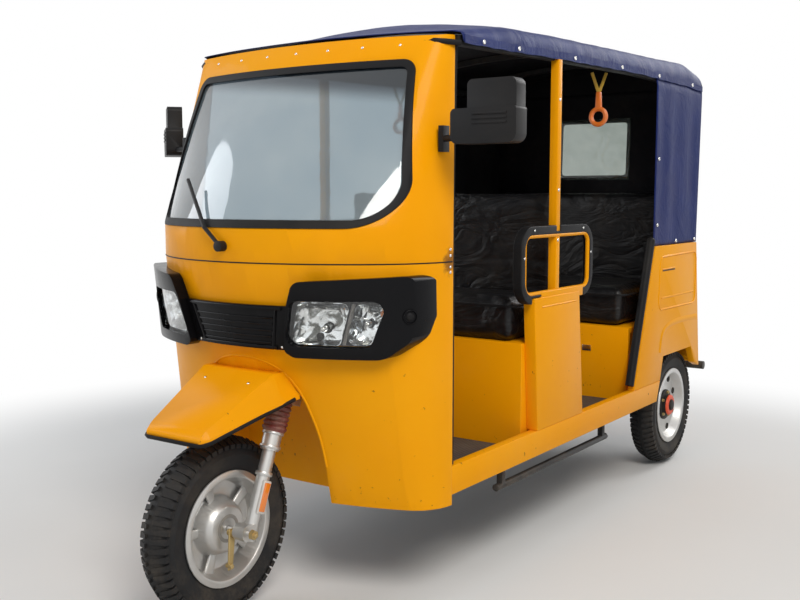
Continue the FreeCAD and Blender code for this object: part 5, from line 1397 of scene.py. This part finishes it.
@cache
def tarpaulin(name, lined=False):
    """Coated woven cloth: navy outside, black where it is the lining."""
    f = finishes()
    material, tree, surface = shader(name, Metallic=0.0, Specular_IOR_Level=0.08)
    where = object_place(tree)
    worn = between(tree, cloud(tree, where, 4.0, 6.0, 0.65), 0.42, 0.80)
    first, second = (f.lining, (0.016, 0.016, 0.018)) if lined else (f.canvas, f.canvas_worn)
    tint = blend_colour(tree, worn, rgba(first), rgba(second))
    amount, rough = (0.04, 0.7) if lined else (0.06, 0.46)
    creases = cloud(tree, drawn_out(tree, where, (0.6, 1.0, 0.8)), 7.0, 6.0, 0.6, 1.6)
    ridge = sums(tree, "ABSOLUTE", sums(tree, "SUBTRACT", creases, 0.5))
    threads = sums(tree, "ADD", bands(tree, where, "X", 160.0), bands(tree, where, "Y", 160.0))
    rise = sums(tree, "MULTIPLY_ADD", ridge, 1.5, sums(tree, "MULTIPLY", threads, 0.012))
    dress(tree, surface, *dusted(tree, tint, amount, 2.6, 6.0, 0.25, rough), rise, 0.45, 0.010)
    return material


def thicken(sheet, thickness):
    """Give a sheet its thickness, inwards."""
    shell = sheet.modifiers.new("thickness", "SOLIDIFY")
    shell.thickness = thickness
    shell.offset = -1.0
    return shell


def cloth_sheet(name, made, stands_for):
    """Thin cloth with a navy outside and a black lining."""
    sheet = piece(name, made, tarpaulin("hood_cloth"), "body", stands_for, 60,
                  tarpaulin("hood_lining", True))
    thicken(sheet, 0.0026).material_offset = 1


SNAP = [(0, 0.0075), (0.002, 0.0072), (0.0035, 0.005), (0.002, 0.0028), (0.0025, 0)]


def press_studs(name, places):
    """Press studs on the cloth's sides: places are (side, place) rows."""
    studs = [disc_on(place, (side, 0, 0), SNAP, 18) for side, place in places]
    return piece(name, joined(studs), bright_steel(), "body", smooth=50)


class RICKSHAW_OT_hood(Operator):
    """Hood: one cloth stretched over the bows, sagging between them, with hem and snaps"""
    bl_idname = "rickshaw.hood"
    bl_label = "Hood"

    def execute(self, context):
        made = bmesh.new()
        wide, long = 76, 104
        bmesh.ops.create_grid(made, x_segments=wide, y_segments=long, size=0.5)
        bows = [0.40, 0.786, 1.106, 1.777, 2.373, 2.54]
        for vert in made.verts:
            across, along = vert.co.x * 2, vert.co.y + 0.5
            drop = max(along - 0.95, 0.0) / 0.05
            along = min(along / 0.95, 1.0)
            x = hood_point(0.45, across)[0]
            front = hood_front(x)
            back = front + (2.5395 - front) * along
            x, z = hood_point(back, across)
            crown = max(1.0 - abs(across) * 1.25, 0.0)
            for start, stop in zip(bows, bows[1:]):
                if start < back < stop:
                    share = (back - start) / (stop - start)
                    z -= 0.0055 * crown ** 0.5 * math.sin(math.pi * share) ** 2
            spot = Vector((x * 2.2, back * 3.2, z * 3))
            ripple = noise.noise(spot * 2.1) * 0.5 + noise.noise(spot * 5.3) * 0.3
            pull = min(along * 12, 1.0) * (1 - drop)
            if abs(across) > 0.86:
                x -= math.copysign(0.0035, x) * abs(ripple) * pull
                x -= math.copysign(0.0022, x) * (0.5 + 0.5 * hem_wave(back)) * pull
            else:
                z -= 0.0040 * (0.5 + ripple) * pull
            if drop > 0:
                hem = hood_size(2.54)[0]
                z = hem + (z - hem) * (1 - drop)
                back = 2.5395 - 0.004 * math.sin(math.pi * drop)
            vert.co = at(x, back, z)
        bmesh.ops.remove_doubles(made, verts=made.verts, dist=2e-4)
        faced(made, (0, 0, 1))
        area = sum(f.calc_area() for f in made.faces)
        hems = []
        for side in (-1, 1):
            strip = bmesh.new()
            bmesh.ops.create_grid(strip, x_segments=60, y_segments=3, size=0.5)
            for vert in strip.verts:
                back = 0.494 + (2.536 - 0.494) * (vert.co.x + 0.5)
                hem = hood_size(back)[0]
                wave = hem_wave(back)
                vert.co = at(side * (0.5148 + 0.0006 * wave), back,
                             hem - 0.006 + 0.024 * (vert.co.y + 0.5) + 0.0012 * wave)
            faced(strip, (side, 0, 0))
            bmesh.ops.solidify(strip, geom=strip.faces, thickness=0.0022)
            hems.append(strip)
        hem_piece = piece("hood_hem", joined(hems), tarpaulin("hood_cloth"), "body",
                          smooth=60)
        snap_piece = press_studs("hood_snaps", [
            (side, at(side * 0.5152, back, hood_size(back)[0] + 0.006)) for side in (-1, 1)
            for back in (0.60, 0.815, 1.215, 1.621, 2.002, 2.40)])
        cloth_sheet("hood_cloth", made,
                    ("hood",))
        return {"FINISHED"}


class RICKSHAW_OT_curtain(Operator):
    """Curtain round the passengers' seat with its clear window"""
    bl_idname = "rickshaw.curtain"
    bl_label = "Rear curtain"

    def execute(self, context):
        face = Surface("rear_curtain")
        window_low, window_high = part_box("rear_window")
        front, rear = 1.993, 2.5385
        side_run, half = rear - front, 0.5135
        total = side_run * 2 + half * 2
        marks = (side_run, side_run + half + window_low.x, side_run + half + window_high.x,
                 side_run + 2 * half)
        made = bmesh.new()
        wide, tall = 120, 44
        bmesh.ops.create_grid(made, x_segments=wide, y_segments=tall, size=0.5)
        step = total / wide
        levels = (window_low.z, window_high.z)
        for vert in made.verts:
            along = (vert.co.x + 0.5) * total
            for mark in marks:
                if abs(along - mark) < step * 0.5:
                    along = mark
            share = vert.co.y + 0.5
            low = 0.9945
            top = hood_size(2.3)[0] + 0.014
            z = low + (top - low) * share
            for level in levels:
                if abs(z - level) < (top - low) / tall * 0.5:
                    z = level
            lean = self.rear_at(face, z)
            if along < side_run:
                x, back = -half, front + (lean - front) * along / side_run
                inward = Vector((1, 0, 0))
            elif along <= side_run + 2 * half:
                x, back = -half + (along - side_run), lean
                inward = Vector((0, -1, 0))
            else:
                x = half
                back = front + (lean - front) * (total - along) / side_run
                inward = Vector((-1, 0, 0))
            hang = 1 - abs(share * 2 - 1) ** 3
            near = min(abs(along - side_run), abs(along - side_run - 2 * half), 0.05) / 0.05
            clear = 1.0
            if abs(x) < window_high.x + 0.06 and along > side_run and along < side_run + 2 * half:
                away = max(abs(x) - window_high.x, levels[0] - z, z - levels[1], 0.0)
                clear = min(away / 0.05, 1.0)
            wave = math.sin(along * 34 + 2.2 * noise.noise((along * 3, z * 1.5, 1.0)) + z * 1.2)
            fold = (0.5 + 0.5 * wave) * 0.0055 + 0.0025 * abs(noise.noise((along * 8, z * 7, 4.0)))
            z_top = hood_size(min(max(back, 1.993), 2.54))[0] + 0.014
            z = z + (z_top - top) * share ** 4
            tuck = 0.0050 * min(max((share - 0.945) / 0.02, 0.0), 1.0)
            vert.co = at(x, back, z) + inward * (fold * (0.25 + 0.75 * hang) * near * clear + tuck)
        hole = [f for f in made.faces if abs(f.calc_center_median().x) < window_high.x
                and levels[0] < f.calc_center_median().z < levels[1]
                and f.calc_center_median().y > AXLE.y + 2.3]
        bmesh.ops.delete(made, geom=hole, context="FACES")
        faced(made, (0, 1, 0))
        area = sum(f.calc_area() for f in made.faces)
        cloth_sheet("rear_curtain_cloth", made,
                    ("rear_curtain",))
        pane = bmesh.new()
        bmesh.ops.create_grid(pane, x_segments=24, y_segments=18, size=0.5)
        for vert in pane.verts:
            x = (vert.co.x) * (window_high.x - window_low.x + 0.03)
            z = levels[0] - 0.015 + (vert.co.y + 0.5) * (levels[1] - levels[0] + 0.03)
            bulge = 0.003 * noise.noise((x * 9, z * 9, 2.0))
            vert.co = at(x, self.rear_at(face, z) - 0.0062 + bulge, z)
        faced(pane, (0, 1, 0))
        film = piece("rear_window_film", pane, self.film(), "body",
                     ("rear_window",), 60)
        thicken(film, 0.0006)
        edge = rounded([(window_low.x, levels[0]), (window_high.x, levels[0]),
                        (window_high.x, levels[1]), (window_low.x, levels[1])], 0.02, 4)
        loop = [at(x, self.rear_at(face, z) + 0.0006, z) for x, z in edge]
        piece("rear_window_binding", tube(loop, 0.0058, 8, closed=True, curve="POLY"),
              tarpaulin("hood_lining", True), "body", smooth=60)
        press_studs("curtain_snaps", [
            (side, at(side * 0.5142, back, z)) for side in (-1, 1)
            for back, z in ((2.026, 1.351), (2.026, 1.08), (2.486, 1.008), (2.25, 1.008))])
        return {"FINISHED"}

    def rear_at(self, face, z):
        """How far behind the axle the curtain's back hangs at one height."""
        x = 0.30
        spot = face.hit((x, 3.0, min(max(z, 0.996), 1.66)), (0, -1, 0))[0]
        return spot.y - AXLE.y

    def film(self):
        material, tree, surface = shader("window_film", Transmission_Weight=0.85, IOR=1.3,
                                         Metallic=0.0, Coat_Weight=0.4)
        where = object_place(tree)
        haze = cloud(tree, where, 16.0, 5.0)
        tint = blend_colour(tree, haze, (0.30, 0.35, 0.32, 1), (0.46, 0.51, 0.47, 1))
        dress(tree, surface, tint, between(tree, haze, 0.3, 0.8, 0.05, 0.22))
        return material


# Cab: floor mats and pedals

@cache
def mat_rubber():
    material, tree, surface = shader("mat_rubber", Metallic=0.0, Specular_IOR_Level=0.4)
    where = object_place(tree)
    rise = sums(tree, "MULTIPLY_ADD", cloud(tree, where, 60.0, 3.0), 0.25,
                bands(tree, where, "X", 26.0))
    dress(tree, surface, *dusted(tree, rgba(finishes().floor_mat), 0.22, 5.0, 1.6, 0.5, 0.6),
          rise, 0.9, 0.003)
    return material


class RICKSHAW_OT_cab(Operator):
    """Floor mats, brake pedal and the finish of the dash shelf and floor"""
    bl_idname = "rickshaw.cab"
    bl_label = "Cab"

    def execute(self, context):
        finish_nodes(black_plastic(), "dash_shelf")
        finish_nodes(paint_black(), "floor_pan")
        low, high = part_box("floor_pan")
        mats = [slab(at(-0.455, start, high.z + 0.0005), at(0.455, stop, high.z + 0.006), 0.0028, 2)
                for start, stop in ((0.470, 0.912), (1.312, 1.838))]
        piece("floor_mats", joined(mats), mat_rubber(), "body", smooth=35)
        pedal = slab((-0.034, -0.006, -0.028), (0.034, 0.006, 0.028), 0.004, 2)
        bmesh.ops.rotate(pedal, cent=(0, 0, 0), matrix=Matrix.Rotation(math.radians(-35), 3, "X"),
                         verts=pedal.verts)
        moved(pedal, Matrix.Translation(at(-0.190, 0.560, 0.448)))
        stem = tube([at(-0.190, 0.600, 0.372), at(-0.190, 0.596, 0.410), at(-0.190, 0.566, 0.442)],
                    0.006, 10)
        piece("brake_pedal", joined([pedal, stem]), paint_black(), "body",
              smooth=40)
        return {"FINISHED"}


# Sides

def on_side(side, face, back, z):
    """Place on the outside of a side panel and the way it faces."""
    return face.hit(at(side * 1.2, back, z), (-side, 0, 0))


def press_line(side, face, points, radius, lift=0.0):
    """Raised press line along a side panel."""
    line = []
    for back, z in points:
        spot, normal = on_side(side, face, back, z)
        line.append(spot + normal * lift)
    return tube(line, radius, 10, curve="POLY")


def level(start, length, z, steps):
    """Places along a level line on a side: behind the front axle, height."""
    return [(start + length * k / steps, z) for k in range(steps + 1)]


@cache
def strap_webbing():
    material, tree, surface = shader("strap_webbing", Metallic=0.0, Sheen_Weight=0.2,
                                     Specular_IOR_Level=0.3)
    weave = bands(tree, object_place(tree), "Z", 220.0)
    tint = rgba(finishes().strap_yellow)
    dress(tree, surface, *dusted(tree, tint, 0.7, 20.0, 5.0, 0.4, 0.75), weave, 0.6, 0.0015)
    return material


def mirror_glass():
    return coated("mirror_glass", (0.80, 0.83, 0.85), 0.03, metallic=1.0, depth=0.0, dents=0.15,
                  bump=0.05, dirt_amount=0.2, dirt_scale=18.0, dirt_reach=4.0)


class RICKSHAW_OT_mirrors(Operator):
    """Door mirrors: moulded heads with three ribs, arms and glass"""
    bl_idname = "rickshaw.mirrors"
    bl_label = "Mirrors"

    def execute(self, context):
        for side, word in SIDES:
            node = "mirror_" + word
            eased(node, "_shell", 0.004, 3, 32, black_plastic(), 38)
            face = Surface(node)
            low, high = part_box(node)
            head = [low.x + (high.x - low.x) * share for share in (
                (0.50, 0.92) if side > 0 else (0.08, 0.50))]
            middle_x = sum(head) / 2
            ribs = []
            for z in (1.392, 1.404, 1.416):
                line = []
                for k in range(9):
                    x = head[0] + (head[1] - head[0]) * (0.04 + 0.90 * k / 8)
                    line.append(face.hit((x, -3.0, z), (0, 1, 0), 5.0)[0] + Vector((0, 0.0005, 0)))
                ribs.append(tube(line, 0.0038, 8, curve="POLY"))
            piece(node + "_ribs", joined(ribs), black_plastic(), "body", smooth=60)
            outline = rounded([(-0.050, -0.062), (0.050, -0.062), (0.056, 0.0), (0.036, 0.066),
                               (-0.036, 0.066), (-0.056, 0.0)], 0.020, 5)
            spot, normal = face.hit((middle_x, 3.0, 1.425), (0, -1, 0), 5.0)
            turned_to = Matrix.Translation(spot - normal * 0.0010) @ frame_along(normal)
            glass = plate(outline, 0.0028, 0.001, turned_to)
            piece(node + "_glass", glass, mirror_glass(), "body", smooth=40)
        return {"FINISHED"}


class RICKSHAW_OT_sides(Operator):
    """Grab loops, padded edges, press lines, post bolts, straps and step rails"""
    bl_idname = "rickshaw.sides"
    bl_label = "Sides"

    def execute(self, context):
        for side, word in SIDES:
            self.grab_loop(side, word)
            made = copy_of("edge_pad_" + word)
            piece("edge_pad_%s_rubber" % word, made, black_rubber(), "body",
                  ("edge_pad_" + word,), 50)
            mid = Surface("mid_panel_" + word)
            line = press_line(side, mid, level(0.985, 0.260, 0.834, 8), 0.0034, -0.0018)
            piece("mid_panel_line_" + word, line, body_paint(), "body", smooth=60)
            quarter = Surface("rear_quarter_" + word)
            corner = [(2.046, 0.724), (2.500, 0.720), (2.508, 0.952), (2.058, 0.946)]
            frame_line = rounded(corner, 0.040, 6)
            lines = []
            spots = [on_side(side, quarter, back, z) for back, z in frame_line]
            lines.append(tube([p - n * 0.0035 for p, n in spots], 0.0062, 10, closed=True,
                              curve="POLY"))
            lines.append(press_line(side, quarter, level(2.080, 0.400, 0.772, 8),
                                    0.0058, -0.0034))
            lines.append(press_line(side, quarter, level(2.085, 0.150, 0.893, 4),
                                    0.0052, -0.0030))
            crease = [(2.082, 0.540), (2.090, 0.598), (2.122, 0.636), (2.190, 0.654),
                      (2.300, 0.658),
                      (2.420, 0.657), (2.530, 0.652)]
            spots = [on_side(side, quarter, back, z) for back, z in crease]
            swell = tube([p - n * 0.0265 for p, n in spots], 0.0300, 32, order=3)
            for vert in swell.verts:
                vert.co.x = side * max(side * vert.co.x, side * spots[2][0].x - 0.0035)
            lines.append(swell)
            # Thin black bar under the press line above it: painted shadow in the louvre slot.
            slot = press_line(side, quarter, level(2.088, 0.144, 0.887, 4),
                              0.0026, -0.0010)
            piece("rear_quarter_slot_" + word, slot, black_rubber(), "body",
                  smooth=60)
            piece("rear_quarter_lines_" + word, joined(lines), body_paint(), "body",
                  smooth=60)
            post = Surface("post_" + word)
            places = [on_side(side, post, 1.106, z) for z in (1.052, 1.220, 1.520)]
            screws("post_bolts_" + word, places, 0.0062)
            catch_low, catch_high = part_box("rear_bench_base")
            latch = slab(Vector((side * 0.29 - 0.020, catch_low.y - 0.0035, 0.560)),
                         Vector((side * 0.29 + 0.020, catch_low.y + 0.0005, 0.584)), 0.0015, 2)
            piece("bench_catch_" + word, latch, bright_steel(), "body", smooth=40)
            eased("step_bar_" + word, "_painted", 0.0015, 2, 50, paint_black(),
                  45)
            self.straps(side, word)
        return {"FINISHED"}

    def grab_loop(self, side, word):
        node = "grab_loop_" + word
        eased(node, "_foam", 0.0035, 3, 40, black_rubber(), 45)
        strip = slab(at(min(side * 0.5182, side * 0.5062), 0.9800, 0.8485),
                     at(max(side * 0.5182, side * 0.5062), 1.3060, 0.8850), 0.004, 3)
        inner = rounded([(0.8745, 0.8800), (1.3535, 0.8800), (1.3535, 1.0700), (0.8745, 1.0700)],
                        0.034, 6)
        bar = tube([at(side * 0.5100, back, z) for back, z in inner], 0.0075, 12, closed=True,
                   curve="POLY")
        piece(node + "_strip", joined([strip, bar]), body_paint(), "body",
              smooth=40)
        face = Surface(node)
        rows = []
        for back, z in ((0.862, 1.000), (1.366, 1.000), (0.930, 1.088), (1.300, 1.088)):
            rows.append(on_side(side, face, back, z))
        screws(node + "_screws", rows, 0.0045)

    def straps(self, side, word):
        node = "hang_strap_" + word
        orange = coated("strap_plastic", finishes().strap_orange, 0.38, dirt_amount=0.2, coat=0.2)
        centre = at(side * 0.452, 1.556, 1.495)
        wire = [(0.009 * math.sin(math.tau * k / 12), 0.029 + 0.009 * math.cos(math.tau * k / 12))
                for k in range(12)]
        ring = lathe(wire, centre, (0, 1, 0), 36, closed=True)
        sleeve = slab((-0.013, -0.007, 0.027), (0.013, 0.007, 0.092), 0.005, 3)
        top = [v for v in sleeve.verts if v.co.z > 0.06]
        bmesh.ops.scale(sleeve, vec=(0.72, 1.15, 1), verts=top)
        moved(sleeve, Matrix.Translation(centre))
        piece(node + "_ring", joined([ring, sleeve]), orange, "body", (node,), 50)
        webs = []
        for spread in (-1, 1):
            foot = centre + Vector((0, 0, 0.086))
            head = at(side * (0.452 + spread * 0.020), 1.556 + side * spread * 0.020, 1.657)
            band = slab((-0.006, -0.0012, 0), (0.006, 0.0012, (head - foot).length), 0.0008, 1)
            turned_to = frame_along(head - foot, (0, 1, 0))
            webs.append(moved(band, Matrix.Translation(foot) @ turned_to))
        piece(node + "_webbing", joined(webs), strap_webbing(),
              "body", smooth=40)


# Back of the vehicle

def number_white():
    return coated("number_plate", (0.62, 0.60, 0.54), 0.45, dirt_amount=1.2, dirt_scale=9.0)


class RICKSHAW_OT_rear(Operator):
    """Rear lamps with their lenses, blank plate, reflectors, bumper and the covered engine"""
    bl_idname = "rickshaw.rear"
    bl_label = "Back"

    def execute(self, context):
        wall = Surface("rear_wall")
        for side, word in SIDES:
            node = "rear_lamp_" + word
            low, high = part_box(node)
            eased(node, "_housing", 0.005, 3, 40, black_plastic(), 40)
            inner = 0.006
            edge = high.y - 0.004
            tall = (high.z - low.z - 2 * inner) / 3
            for number, (tint, finish) in enumerate((("red", red_lens), ("white", self.white_lens),
                                                     ("amber", amber_lens))):
                z = low.z + inner + tall * number
                lens = slab((low.x + inner, edge - 0.014, z + 0.001),
                            (high.x - inner, high.y + 0.0035, z + tall - 0.001), 0.004, 3)
                piece("%s_%s" % (node, tint), lens, finish(), "body", smooth=40)
            spot, normal = wall.hit((side * 0.250, 3.0, 0.560), (0, -1, 0), 5.0)
            disc = lathe([(0, 0), (0, 0.032), (0.004, 0.0325), (0.008, 0.029), (0.0085, 0)],
                         spot - normal * 0.0004, normal, 32)
            piece("rear_reflector_" + word, disc, red_lens(), "body", smooth=40)
        spot, normal = wall.hit((0, 3.0, 0.640), (0, -1, 0), 5.0)
        turned_to = Matrix.Translation(spot - normal * 0.0002) @ frame_along(normal)
        outline = rounded([(-0.165, -0.062), (0.165, -0.062), (0.165, 0.062), (-0.165, 0.062)],
                          0.010, 4)
        back_plate = plate(outline, 0.0025, 0.0006, turned_to)
        piece("rear_plate", back_plate, number_white(), "body", smooth=40)
        lines = []
        for z in (0.760, 0.900):
            line = [wall.hit((0.36 * (k / 8 - 1), 3.0, z), (0, -1, 0), 5.0) for k in range(17)]
            lines.append(tube([p - n * 0.0030 for p, n in line], 0.0065, 10, curve="POLY"))
        piece("rear_wall_lines", joined(lines), body_paint(), "body", smooth=60)
        eased("rear_bumper", "_painted", 0.003, 2, 40, paint_black(), 40)
        made = copy_of("power_unit")
        soften(made, 0.006, 2, 40)
        piece("power_unit_castings", made, casting(), "body", ("power_unit",), 35)
        made = copy_of("rear_axle")
        soften(made, 0.003, 2, 40)
        piece("rear_axle_painted", made, paint_black(), "body", ("rear_axle",), 40)
        finish_nodes(paint_black(), "rear_crossmember", "roof_rail_left", "roof_rail_right",
                     *["roof_bow_" + which for which in ("first", "post", "third", "rear")])
        return {"FINISHED"}

    def white_lens(self):
        return coated("white_lens", (0.72, 0.73, 0.72), 0.12, grain=90.0, depth=0.4, bump=0.35,
                      coat=0.8, dirt_amount=0.2)


# Sidebar, registration and the run itself

SETTINGS = (("rickshaw_stage", StageSettings), ("rickshaw_finish", FinishSettings))
OPERATORS = (
    RICKSHAW_OT_stage, RICKSHAW_OT_panels, RICKSHAW_OT_lamps, RICKSHAW_OT_front_trim,
    RICKSHAW_OT_screen, RICKSHAW_OT_mudguard, RICKSHAW_OT_wheels, RICKSHAW_OT_fork,
    RICKSHAW_OT_seats, RICKSHAW_OT_hood, RICKSHAW_OT_curtain, RICKSHAW_OT_cab,
    RICKSHAW_OT_mirrors, RICKSHAW_OT_sides, RICKSHAW_OT_rear)


class RICKSHAW_PT_sidebar(Panel):
    """Lists the settings and the operators"""
    bl_idname = "RICKSHAW_PT_sidebar"
    bl_label = "Auto rickshaw"
    bl_space_type = "VIEW_3D"
    bl_region_type = "UI"
    bl_category = "Rickshaw"

    def draw(self, context):
        for operator in OPERATORS:
            self.layout.operator(operator.bl_idname)
        for name, group in SETTINGS:
            box = self.layout.box()
            for label in group.__annotations__:
                box.prop(getattr(context.scene, name), label)


def register():
    for name, group in SETTINGS:
        bpy.utils.register_class(group)
        setattr(bpy.types.Scene, name, bpy.props.PointerProperty(type=group))
    for made in OPERATORS + (RICKSHAW_PT_sidebar,):
        bpy.utils.register_class(made)


def unregister():
    for made in reversed(OPERATORS + (RICKSHAW_PT_sidebar,)):
        bpy.utils.unregister_class(made)
    for name, group in reversed(SETTINGS):
        delattr(bpy.types.Scene, name)
        bpy.utils.unregister_class(group)


def main():
    register()
    for operator in OPERATORS:
        group, call = operator.bl_idname.split(".")
        getattr(getattr(bpy.ops, group), call)()


if __name__ == "__main__":
    main()
